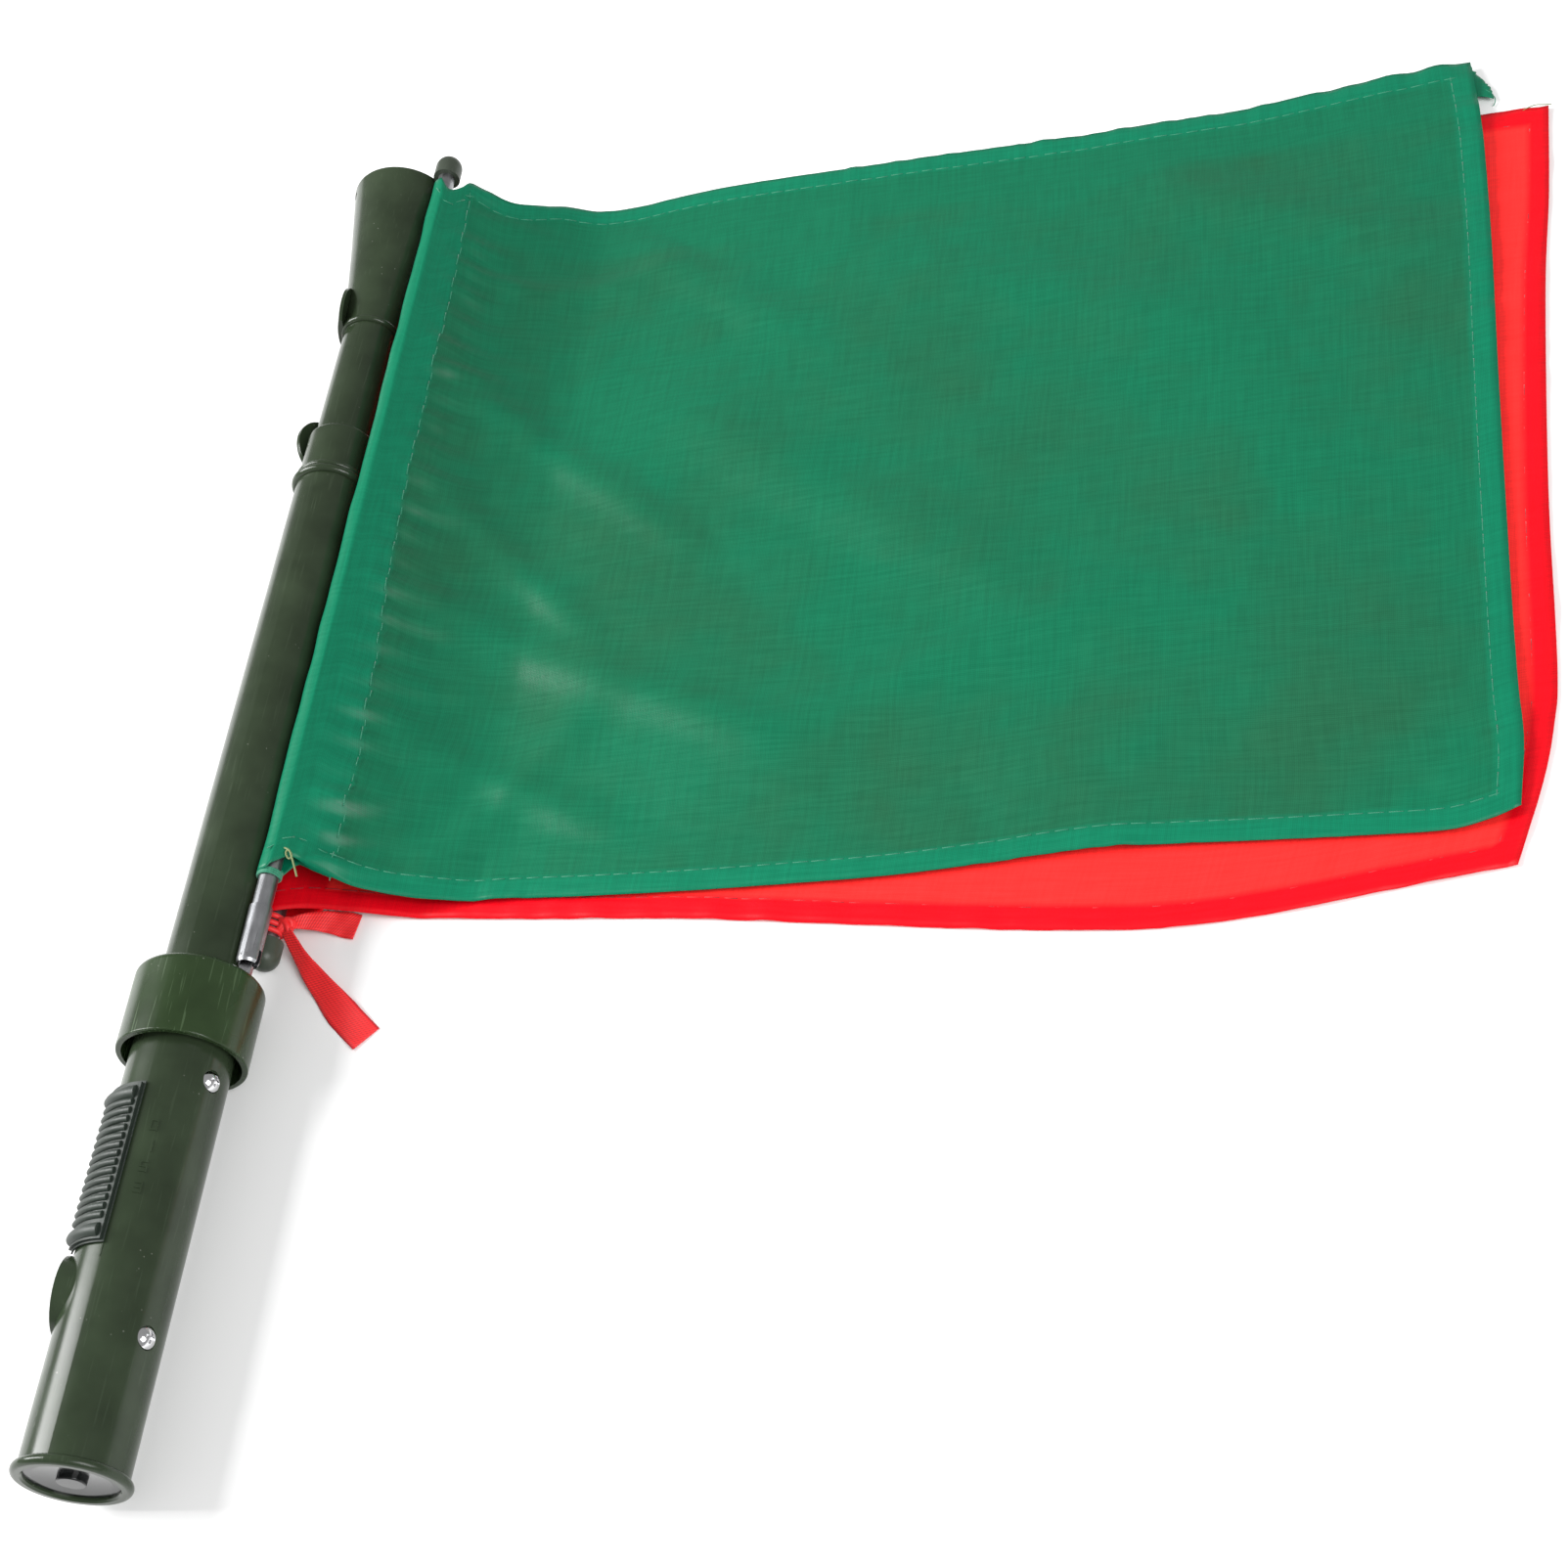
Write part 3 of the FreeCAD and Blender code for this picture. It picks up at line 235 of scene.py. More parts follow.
def woven_nylon(name, thin, thick, through, sheen_colour):
    """Thin satin nylon. The cloth's own map is in metres along its two threads; the layer
    attribute is 0 on the single cloth and 1 where a hem or sleeve makes it thicker, and the
    under attribute is 1 where what lies below shows through."""
    n = Nodes(name)
    cloth = n.add("ShaderNodeUVMap", uv_map="cloth").outputs[0]
    woven = []
    for direction, scale in (("X", 620.0), ("Y", 560.0)):
        links = {"Vector": cloth, "Scale": scale, "Distortion": 0.4, "Detail": 1.0, "Detail Scale": 1.5}
        wave = n.add("ShaderNodeTexWave", links, wave_type="BANDS", bands_direction=direction)
        woven.append(wave.outputs["Fac"])
    threads = n.math("MULTIPLY", n.math("ADD", *woven), 0.5)
    slub = n.noise(1.0, 2, 0.5, n.mapped((60, 900, 1), cloth))
    streak = n.noise(1.0, 2, 0.5, n.mapped((900, 45, 1), cloth))
    cloud = n.noise(11.0, 4, 0.62)
    layer = n.add("ShaderNodeAttribute", attribute_name="layer", attribute_type="GEOMETRY").outputs["Fac"]
    under = n.add("ShaderNodeAttribute", attribute_name="under", attribute_type="GEOMETRY").outputs["Fac"]
    patch = n.math("MULTIPLY", under, n.level(cloud, 0.42, 0.68))
    body = n.blend(patch, thin, through)
    body = n.blend(layer, body, thick)
    fleck = n.level(n.math("ADD", slub, streak), 0.72, 1.28, 0.90, 1.10)
    body = n.blend(1.0, body, n.grey(fleck), "MULTIPLY")
    fibre = n.level(threads, 0.2, 0.8, 0.90, 1.08)
    body = n.blend(1.0, body, n.grey(fibre), "MULTIPLY")
    crinkle = n.noise(170.0, 3, 0.55)
    normal = n.bump(crinkle, 0.00022, 0.5)
    normal = n.bump(threads, 0.00003, 0.5, normal)
    shine = n.level(slub, 0.3, 0.7, 0.34, 0.44)
    return n.finish(Base_Color=body, Roughness=shine, Normal=normal, Sheen_Weight=0.01,
                    Sheen_Roughness=0.4, Sheen_Tint=sheen_colour, Specular_IOR_Level=0.20)


RIB_PITCH = 0.00085             # from one diagonal rib to the next, in metres
RIB_CROSS_PITCH = 0.0011        # from one lengthwise rib to the next, in metres


def ribbed_ribbon(name, colour, edge):
    """Narrow ribbon woven in a fine diagonal rib, with darker woven edges and painted shade in the valleys
    between its ribs.
    """
    n = Nodes(name)
    cloth = n.add("ShaderNodeUVMap", uv_map="cloth").outputs[0]
    apart = n.add("ShaderNodeSeparateXYZ", {"Vector": cloth})
    across, along = apart.outputs["X"], apart.outputs["Y"]
    slanted = n.math("ADD", along, n.math("MULTIPLY", across, 0.55))
    ribs = n.math("SINE", n.math("MULTIPLY", slanted, TURN / RIB_PITCH))
    cross = n.math("SINE", n.math("MULTIPLY", across, TURN / RIB_CROSS_PITCH))
    height = n.math("ADD", n.math("MULTIPLY", ribs, 0.35), n.math("MULTIPLY", cross, 0.15))
    height = n.math("ADD", height, 0.5)
    side = n.math("ABSOLUTE", across)
    border = n.level(side, 0.0042, 0.0047)
    # painted shade: the valleys between the ribs are darkened by the rib height that also makes the bump
    rib_shaded_tone = n.ramp(height, [(0.1, tuple(c * 0.62 for c in colour)), (0.85, colour)])
    base = n.blend(border, rib_shaded_tone, edge)
    return n.finish(Base_Color=base, Roughness=0.55, Normal=n.bump(height, 0.00012, 0.9), Sheen_Weight=0.2,
                    Sheen_Roughness=0.5, Sheen_Tint=(1, 0.5, 0.5))


def spun_thread(name, colour):
    """Twisted sewing thread, with painted shade in the grooves of its twist."""
    n = Nodes(name)
    twist = n.add("ShaderNodeTexWave", {"Scale": 900.0, "Vector": n.place, "Distortion": 1.0},
                  bands_direction="DIAGONAL").outputs["Fac"]
    # painted shade: the grooves of the twist are darkened by the same wave that makes the bump
    base = n.ramp(twist, [(0.2, tuple(c * 0.6 for c in colour)), (0.8, colour)])
    return n.finish(Base_Color=base, Roughness=0.6, Normal=n.bump(twist, 0.00008, 0.6), Sheen_Weight=0.2)


def soft_rubber(name, colour):
    """Matt rubber with a faint bloom."""
    n = Nodes(name)
    bloom = n.noise(300, 4)
    base = n.ramp(bloom, [(0.3, tuple(c * 0.7 for c in colour)), (0.8, tuple(c * 1.5 for c in colour))])
    return n.finish(Base_Color=base, Roughness=n.level(bloom, 0.3, 0.7, 0.6, 0.8),
                    Normal=n.bump(n.noise(1800, 2), 0.00003, 0.5))


def clear_lens(name):
    """Clear moulded acrylic with faint ripples."""
    n = Nodes(name)
    ripples = n.noise(260, 2)
    return n.finish(Base_Color=(0.96, 0.98, 0.98), Roughness=n.level(ripples, 0.3, 0.7, 0.02, 0.06),
                    Transmission_Weight=0.9, IOR=1.49, Normal=n.bump(ripples, 0.00002, 0.2))


def printed_board(name, colour):
    """Lacquered circuit board with a pattern of tracks."""
    n = Nodes(name)
    links = {"Vector": n.place, "Scale": 500.0, "Mortar Size": 0.06}
    tracks = n.add("ShaderNodeTexBrick", links).outputs["Fac"]
    base = n.blend(tracks, colour, tuple(c * 1.8 for c in colour))
    return n.finish(Base_Color=base, Roughness=n.level(n.noise(400), 0.3, 0.7, 0.25, 0.4),
                    Normal=n.bump(tracks, 0.00003, 0.4))


CELL_LENGTH = 0.0505            # in metres


def battery_wrap(name):
    """Printed sleeve of a plain cell, with one coloured band on each cell's length."""
    n = Nodes(name)
    y = n.add("ShaderNodeSeparateXYZ", {"Vector": n.place}).outputs["Y"]
    band = n.math("GREATER_THAN", n.math("SINE", n.math("MULTIPLY", y, TURN / CELL_LENGTH)), 0.6)
    base = n.blend(band, (0.03, 0.03, 0.035), (0.45, 0.28, 0.08))
    return n.finish(Base_Color=base, Roughness=n.level(n.noise(80, 3), 0.3, 0.7, 0.25, 0.4), Metallic=0.3,
                    Normal=n.bump(n.noise(700, 2), 0.00001, 0.4))


def glowing_body(name, colour):
    """Diffused LED body."""
    n = Nodes(name)
    haze = n.noise(1500, 2)
    base = n.ramp(haze, [(0.3, tuple(c * 0.85 for c in colour)), (0.7, colour)])
    return n.finish(Base_Color=base, Roughness=n.level(haze, 0.3, 0.7, 0.15, 0.3), Transmission_Weight=0.3,
                    IOR=1.5)


OLIVE = (0.0215, 0.0335, 0.0170)
finishes = {
    "olive_gloss": moulded_plastic("olive_plastic", OLIVE, 0.20, 0.35, 0.10),
    "collar_green": moulded_plastic("collar_plastic", (0.0170, 0.0340, 0.0110), 0.24, 0.9, 0.45),
    "slider_grey_green": grained_plastic("slider_plastic", (0.014, 0.022, 0.016), 0.5),
    "screw_steel": drawn_metal("bright_steel", (0.66, 0.66, 0.67), 0.14, (1, 1, 1), 0.00001, 0.1),
    "black_gloss": moulded_plastic("black_plastic", (0.008, 0.009, 0.009), 0.12, 0.3, 0.15),
    "seal_rubber": soft_rubber("seal_rubber", (0.02, 0.02, 0.02)),
    "spring_steel": drawn_metal("spring_steel", (0.62, 0.62, 0.62), 0.25),
    "chassis_plastic": grained_plastic("chassis_plastic", (0.03, 0.03, 0.03), 0.6),
    "battery_shell": battery_wrap("battery_wrap"),
    "board_green": printed_board("board_lacquer", (0.01, 0.12, 0.04)),
    "contact_brass": drawn_metal("contact_brass", (0.78, 0.57, 0.25), 0.22),
    "switch_black": grained_plastic("switch_plastic", (0.02, 0.02, 0.02), 0.5),
    "lead_sleeve": soft_rubber("lead_sleeve", (0.03, 0.03, 0.03)),
    "magnet_steel": drawn_metal("magnet_plate", (0.30, 0.30, 0.31), 0.35, (1, 1, 1)),
    "tab_steel": drawn_metal("tab_steel", (0.36, 0.36, 0.37), 0.22, (1, 1, 1), 0.00002),
    "rod_aluminium": drawn_metal("drawn_aluminium", (0.36, 0.365, 0.38), 0.36, (1, 0.015, 1), 0.00003, 0.3),
    "cap_olive": moulded_plastic("cap_plastic", (0.050, 0.062, 0.046), 0.32, 0.3, 0.1),
    "lens_clear": clear_lens("clear_lens"),
    "lens_ring_black": grained_plastic("ring_plastic", (0.02, 0.02, 0.02), 0.5),
    "reflector_bright": drawn_metal("mirror_coat", (0.90, 0.90, 0.91), 0.06, (1, 1, 1), 0.000003, 0.05),
    "led_red_plastic": glowing_body("led_red_body", (0.55, 0.01, 0.01)),
    "led_yellow_plastic": glowing_body("led_yellow_body", (0.65, 0.42, 0.02)),
    "led_green_plastic": glowing_body("led_green_body", (0.01, 0.45, 0.06)),
}
for part in frame["record"]["subparts"]:
    node = frame["nodes"][part["node"]]
    if part["material_slot"] in finishes:
        for index in range(len(node.data.materials)):
            node.data.materials[index] = finishes[part["material_slot"]]

GREEN_THIN = (0.0030, 0.128, 0.061)
GREEN_THICK = (0.0015, 0.155, 0.078)
GREEN_THROUGH = (0.011, 0.100, 0.046)
RED_THIN = (0.93, 0.024, 0.022)
RED_THICK = (0.70, 0.001, 0.008)
green_nylon = woven_nylon("green_nylon", GREEN_THIN, GREEN_THICK, GREEN_THROUGH, (0.5, 1.0, 0.75))
red_nylon = woven_nylon("red_nylon", RED_THIN, RED_THICK, RED_THIN, (1.0, 0.6, 0.55))
red_ribbon = ribbed_ribbon("red_ribbon", (0.98, 0.018, 0.022), (0.55, 0.005, 0.012))
green_thread = spun_thread("green_thread", (0.012, 0.24, 0.13))
red_thread = spun_thread("red_thread", (0.34, 0.001, 0.008))
yellow_thread = spun_thread("yellow_thread", (0.20, 0.26, 0.09))


# ---------------------------------------------------------------- shared shape helpers

def polyline(points):
    """A function of 0 to 1 that runs smoothly along a list of 2D points by length."""
    pts = [Vector(p) for p in points]
    ends = [pts[0] * 2 - pts[1]] + pts + [pts[-1] * 2 - pts[-2]]
    marks = [0.0]
    for a, b in zip(pts, pts[1:]):
        marks.append(marks[-1] + (b - a).length)

    def run(share):
        want = min(max(share, 0.0), 1.0) * marks[-1]
        i = 0
        while i < len(pts) - 2 and marks[i + 1] < want:
            i += 1
        t = (want - marks[i]) / (marks[i + 1] - marks[i])
        a, b, c, d = ends[i:i + 4]
        bend = (2 * a - 5 * b + 4 * c - d) * t * t
        twist = (3 * b - a - 3 * c + d) * t ** 3
        return 0.5 * (2 * b + (c - a) * t + bend + twist)

    return run


def smooth(low, high, value):
    """0 up to low, 1 from high on, and a soft step between."""
    t = min(max((value - low) / (high - low), 0.0), 1.0)
    return t * t * (3 - 2 * t)


def in_scene(name, data):
    piece = bpy.data.objects.new(name, data)
    bpy.context.scene.collection.objects.link(piece)
    return piece


def object_from(name, verts, faces, material, shade=True):
    mesh = bpy.data.meshes.new(name)
    mesh.from_pydata([tuple(v) for v in verts], [], faces)
    mesh.materials.append(material)
    if shade:
        mesh.shade_smooth()
    mesh.update()
    return in_scene(name, mesh)


def finished_mesh(holder):
    """The plain mesh that a curve or a modifier gives; the object that held it is removed."""
    graph = bpy.context.evaluated_depsgraph_get()
    mesh = bpy.data.meshes.new_from_object(holder.evaluated_get(graph))
    bpy.data.objects.remove(holder)
    return mesh


def thicken(piece, thickness, offset=-1.0):
    """Give a sheet its wall, below the sheet at offset -1 and on both sides of it at 0."""
    wall = piece.modifiers.new("thickness", "SOLIDIFY")
    wall.thickness = thickness * MM
    wall.offset = offset


def grid_faces(rows, columns):
    """Quads of a grid whose points are listed row by row."""
    faces = []
    for j in range(rows - 1):
        for i in range(columns - 1):
            a = j * columns + i
            faces.append((a, a + 1, a + 1 + columns, a + columns))
    return faces


def set_cloth_map(piece, maps):
    layer = piece.data.uv_layers.new(name="cloth")
    for loop in piece.data.loops:
        layer.data[loop.index].uv = maps[loop.vertex_index]


def set_attribute(piece, name, values):
    attribute = piece.data.attributes.new(name, "FLOAT", "POINT")
    attribute.data.foreach_set("value", values)


# ---------------------------------------------------------------- flags

CLOTH = 0.22            # thickness of the single cloth
HEM = 7.5               # width of a hem
STITCH_LIFT = 0.1       # a row of stitches lies this far above the cloth
STITCH_RADIUS = 0.19    # radius of the sewing thread


def edge_reader(points, axis):
    """Value of the other coordinate along an edge, by straight runs."""
    order = sorted(points, key=lambda p: p[axis])

    def read(value):
        for a, b in zip(order, order[1:]):
            if value <= b[axis]:
                span = b[axis] - a[axis]
                t = (value - a[axis]) / span if span else 0.0
                return a[1 - axis] + (b[1 - axis] - a[1 - axis]) * min(max(t, 0.0), 1.0)
        return order[-1][1 - axis]

    return read


class Flag:
    """A hemmed flag with a sleeve round a rod, laid over the table.

    rod holds the rod's two ends, and edges the flag's four sides as (x, y), seen from above.
    The cloth falls from the rod, with the power fall, and lands at x = lands_at, low above
    the table. There it may sink a little lower or bulge a little higher. seam gives the
    sleeve's seam as a share of the flag's width, and folds the height of its folds.
    """

    WRAP = 22               # columns of the sleeve, under the rod and round its left side
    WRAP_STEP = 1.2         # width of such a column on the cloth's own map
    UNDER_ROD = 0.45        # share of those columns that lie under the rod
    SLEEVE_R = 3.9          # outer radius of the sleeve
    CREST = 1.5             # the cloth starts to fall this far from the rod's middle
    LAYER_GAP = 0.7         # from the cloth down to the sleeve's lower layer at the seam
    SAG = 0.9               # how far that layer hangs under the rod
    HEM_RISE = 0.42         # a hem stands this far proud of the single cloth
    CROWDING = 1.25         # over 1, the columns are closer together near the rod

    def __init__(self, rod, lands_at, low, sink, bulge, edges, seam, fall, folds):
        self.rod_a, self.rod_b = [Vector(p) for p in rod]
        self.lands_at = lands_at
        self.low = TABLE + low
        self.sink = sink
        self.bulge = bulge
        self.bottom, self.top, self.left, self.right = [
            polyline(edges[side]) for side in ("bottom", "top", "left", "right")]
        self.bottom_y = edge_reader(edges["bottom"], 0)
        self.top_y = edge_reader(edges["top"], 0)
        self.right_x = edge_reader(edges["right"], 1)
        self.seam = seam
        self.fall = fall
        self.folds = folds

    def rod_at(self, y):
        t = (y - self.rod_a.y) / (self.rod_b.y - self.rod_a.y)
        return self.rod_a.lerp(self.rod_b, t)

    def plan(self, u, t):
        """Place on the flag seen from above; u runs from the rod outwards, t up the rod."""
        b, a, l, r = self.bottom(u), self.top(u), self.left(t), self.right(t)
        corners = ((1 - t) * ((1 - u) * self.bottom(0) + u * self.bottom(1))
                   + t * ((1 - u) * self.top(0) + u * self.top(1)))
        return (1 - t) * b + t * a + (1 - u) * l + u * r - corners

    def height(self, x, y):
        """Height of the upper side of the cloth over the lamp's axis."""
        rod = self.rod_at(y)
        off = x - rod.x
        top = rod.z + self.SLEEVE_R
        out = min(max((off - self.CREST) / (self.lands_at - rod.x - self.CREST), 0.0), 1.0)
        z = self.low + (top - self.low) * (1 - out) ** self.fall
        if abs(off) < self.SLEEVE_R:
            z = max(z, rod.z + math.sqrt(self.SLEEVE_R ** 2 - off * off))
        z += self.folds(self, x, y, out) * smooth(3.0, 10.0, off)
        if out >= 1.0:
            z = min(z, self.low + self.bulge)
        return max(z, self.low - self.sink)

    def point(self, u, t, lift=0.0):
        p = self.plan(u, t)
        return Vector((p.x, p.y, self.height(p.x, p.y) + lift))

    def sleeve_point(self, k, t):
        """Column k of the sleeve, from the seam under the cloth round to the rod's top."""
        share = k / self.WRAP
        edge = self.left(t)
        rod = self.rod_at(edge.y)
        if share < self.UNDER_ROD:
            s = share / self.UNDER_ROD
            p = self.point(self.seam(t) * (1 - s), t)
            layer = p.z - self.LAYER_GAP
            low = rod.z - self.SLEEVE_R - self.SAG * math.sin(math.pi * s)
            p.z = layer * (1 - s) ** 2 + min(low, layer) * (1 - (1 - s) ** 2)
            return p
        a = math.radians(-90 - 180 * (share - self.UNDER_ROD) / (1 - self.UNDER_ROD))
        bulge = 1.0 + 0.10 * noise.noise(Vector((edge.y / 14.0, share * 2.0, 3.0)))
        return Vector((
            rod.x + self.SLEEVE_R * bulge * math.cos(a),
            edge.y,
            rod.z + self.SLEEVE_R * bulge * math.sin(a)))

    def build(self, name, material, columns, rows, shown_through):
        """The cloth as one piece; shown_through(x, y) is 1 where what lies below shows."""
        verts, maps, layers, unders = [], [], [], []
        width = (self.right(0.5) - self.left(0.5)).length
        length = (self.top(0.5) - self.bottom(0.5)).length
        for j in range(rows + 1):
            t = j / rows
            for k in range(self.WRAP):
                verts.append(self.sleeve_point(k, t))
                maps.append((-(self.WRAP - k) * self.WRAP_STEP * MM, t * length * MM))
                layers.append(1.0)
                unders.append(0.0)
            seam = self.seam(t)
            for i in range(columns + 1):
                u = (i / columns) ** self.CROWDING
                p = self.point(u, t)
                maps.append((u * width * MM, t * length * MM))
                inside = min((1 - u) * width, t * length, (1 - t) * length)
                proud = 1.0 - smooth(HEM - 0.9, HEM + 0.3, inside)
                ripple = 0.16 * noise.noise(Vector((p.x / 5.0, p.y / 5.0, 2.0)))
                p.z += proud * (self.HEM_RISE + ripple)
                sleeve = 1.0 - smooth(seam - 0.0015, seam + 0.0015, u)
                layers.append(max(1.0 - smooth(HEM - 0.5, HEM + 0.5, inside), sleeve))
                unders.append(shown_through(p.x, p.y))
                verts.append(p)
        faces = grid_faces(rows + 1, columns + 1 + self.WRAP)
        piece = object_from(name, [at(*v) for v in verts], faces, material)
        set_cloth_map(piece, maps)
        set_attribute(piece, "layer", layers)
        set_attribute(piece, "under", unders)
        thicken(piece, CLOTH)
        return piece

    def hem_line(self, side, count=400):
        """Points just above the cloth along one side's stitching, or the sleeve's seam."""
        first, last = (0.021 if side == "right" else 0.003), 0.979      # short of the corners
        points = []
        for i in range(count + 1):
            s = first + (last - first) * i / count
            if side == "right":
                width = (self.right(s) - self.left(s)).length
                u, t = 1 - HEM / width, s
            elif side == "seam":
                u, t = self.seam(s), s
            else:
                share = HEM / (self.top(s) - self.bottom(s)).length
                u, t = s, (share if side == "bottom" else 1 - share)
            points.append(at(*self.point(u, t, STITCH_LIFT)))
        return points


def ridge(x, y, ax, ay, bx, by, width, height):
    """Soft fold along the line from a to b, fading at its ends."""
    dx, dy = bx - ax, by - ay
    run = math.hypot(dx, dy)
    s = ((x - ax) * dx + (y - ay) * dy) / (run * run)
    off = ((x - ax) * dy - (y - ay) * dx) / run
    if s < -0.3 or s > 1.3 or abs(off) > 4 * width:
        return 0.0
    ends = smooth(-0.3, 0.2, s) * (1 - smooth(0.8, 1.3, s))
    return height * ends * math.exp(-(off / width) ** 2)


GREEN_RIDGES = (            # from x, y to x, y, with the fold's width and height
    (34, 400, 120, 330, 8, 2.4),
    (36, 350, 95, 290, 7, 2.1),
    (40, 300, 150, 250, 9, 2.4),
    (38, 250, 110, 215, 7, 1.95),
    (45, 440, 100, 455, 7, 1.8),
    (90, 470, 150, 420, 10, 2.1),
    (120, 380, 230, 300, 14, 2.7),
    (150, 240, 260, 290, 13, 2.55),
    (200, 440, 300, 400, 15, 2.1),
    (250, 230, 360, 270, 15, 1.8),
    (280, 470, 370, 430, 12, 1.8),
    (60, 200, 100, 260, 8, 2.25),
    (26, 215, 60, 230, 6, 2.1),
)
PINCH = (22.5, 193.5)       # where the green flag's lower corner is drawn in with a thread


def wander(x, y, seed, size):
    return noise.noise(Vector((x / size, y / size, seed)))


def green_folds(flag, x, y, out):
    """Height of the green flag's folds; out is 0 at the rod and 1 where the cloth lands."""
    z = 2.2 * wander(x, y, 1.5, 70.0) * smooth(0.0, 0.5, out)
    z += 0.5 * wander(x, y, 4.5, 24.0) * smooth(0.1, 0.6, out)
    for fold in GREEN_RIDGES:
        z += ridge(x, y, *fold)
    seam_x = flag.rod_at(y).x + 15.5
    near = math.exp(-abs(x - seam_x) / 9.0)
    z += near * math.sin(y / 1.9 + 2.5 * wander(x, y, 9.0, 30.0))
    z += 1.3 * math.exp(-abs(x - seam_x - 12) / 12.0) * wander(x * 0.4, y, 12.0, 9.0)
    edge = min(abs(y - flag.bottom_y(x)), abs(y - flag.top_y(x)))
    pucker = math.exp(-edge / 9.0) * (1.0 if out > 0.6 else 0.4)
    z += 1.1 * pucker * wander(x, y * 0.25, 15.0, 7.0)
    rim = math.exp(-abs(x - flag.right_x(y)) / 10.0)
    z += 1.2 * rim * wander(x * 0.25, y, 18.0, 8.0)
    return z + pinch_folds(x - PINCH[0], y - PINCH[1])


def pinch_folds(x, y, reach=26, fans=7):
    """A dimple with folds fanning out of it, x and y from its middle."""
    r = math.hypot(x, y)
    if r >= reach:
        return 0.0
    fan = math.sin(fans * math.atan2(y, x) + 0.6)
    return 1.9 * fan * (r / 5.0) * math.exp(-r / 5.0) - 1.2 * math.exp(-(r / 4.0) ** 2)


def red_folds(flag, x, y, out):
    """Height of the red flag's folds; out is 0 at the rod and 1 where the cloth lands."""
    z = 0.35 * wander(x, y, 31.0, 60.0) * smooth(0.0, 0.5, out)
    side = abs(x - flag.right_x(y))
    edge = min(abs(y - flag.bottom_y(x)), side)
    pucker = math.exp(-edge / 10.0) * smooth(0.2, 0.8, out)
    z += pucker * wander(x, y * 0.3, 35.0, 9.0)
    z += 0.6 * math.exp(-side / 12.0) * wander(x * 0.3, y, 38.0, 10.0)
    return z


GREEN_EDGES = {
    "bottom": [(16.4, 187.5), (19, 190.5), PINCH, (27, 191.8), (33, 190.4), (42, 188.6), (60, 188.6),
               (84, 189.8), (110, 189.7), (140, 190.0), (170, 190.9), (200, 192.2), (228, 194.8),
               (265, 198.6), (312, 198.7), (340, 198.8), (360, 199.3), (371, 201.9), (380.7, 205.3)],
    "top": [(20.8, 481), (24, 476.5), (27.5, 480), (29.5, 484), (34.5, 483), (43.7, 482.2), (58, 488.5),
            (70, 490.0), (85, 491.0), (102, 494.2), (124, 497.0), (168, 499.3), (210.6, 501.2), (254, 502.7),
            (297, 505.7), (341, 511.3), (382, 516.8)],
    "left": [(16.4, 187.5), (17.2, 230), (17.9, 290), (18.7, 350), (19.6, 410), (20.5, 460),
             (20.8, 481)],
    "right": [(380.7, 205.3), (382.8, 228), (382.4, 249), (382.5, 285), (383.4, 363.4), (384.5, 428.4),
              (384.5, 470.4), (383.9, 490), (382, 516.8)],
}
RED_EDGES = {
    "bottom": [(10.5, 184.5), (20, 186.5), (32.6, 186.6), (56.6, 185.1), (90, 183.4), (141, 181.2),
               (200.6, 176.2), (240, 173.0), (279.5, 171.7), (312, 175.1), (345, 181.5), (378.8, 187.8)],
    "top": [(15.2, 459), (60, 462), (150, 470), (250, 480), (330, 487.5), (385, 492.0), (406.4, 492.6)],
    "left": [(10.5, 184.5), (11.5, 240), (12.6, 300), (13.7, 365), (14.6, 420), (15.2, 459)],
    "right": [(378.8, 187.8), (387.3, 215.2), (391.5, 235), (393.7, 256), (395.5, 323), (399.9, 405.4),
              (403.8, 450), (406.4, 492.6)],
}
green = Flag(
    rod=((15.75, 158.6, 4.5), (20.75, 487.6, 11.85)),
    lands_at=75.0,
    low=2.6,
    sink=0.4,
    bulge=math.inf,
    edges=GREEN_EDGES,
    seam=lambda t: (0.052 - 0.012 * t) * (1.0 + 0.05 * math.sin(t * 9.0)),
    fall=1.6,
    folds=green_folds,
)
red = Flag(
    rod=((15.6, 480.0, -15.4), (10.2, 173.0, -14.4)),
    lands_at=60.0,
    low=0.7,
    sink=0.2,
    bulge=0.9,
    edges=RED_EDGES,
    seam=lambda t: 0.045,
    fall=1.4,
    folds=red_folds,
)


def red_below(x, y):
    """1 where the red flag lies under the green one; its upper edge is taken as straight."""
    red_top = 463 + (x - 60) * 29.6 / 346
    return smooth(-3, 5, red_top - y) * smooth(20, 34, x)


green_cloth = green.build("green_cloth", green_nylon, 190, 170, red_below)
red_cloth = red.build("red_cloth", red_nylon, 150, 130, lambda x, y: 0.0)


# ---------------------------------------------------------------- stitching

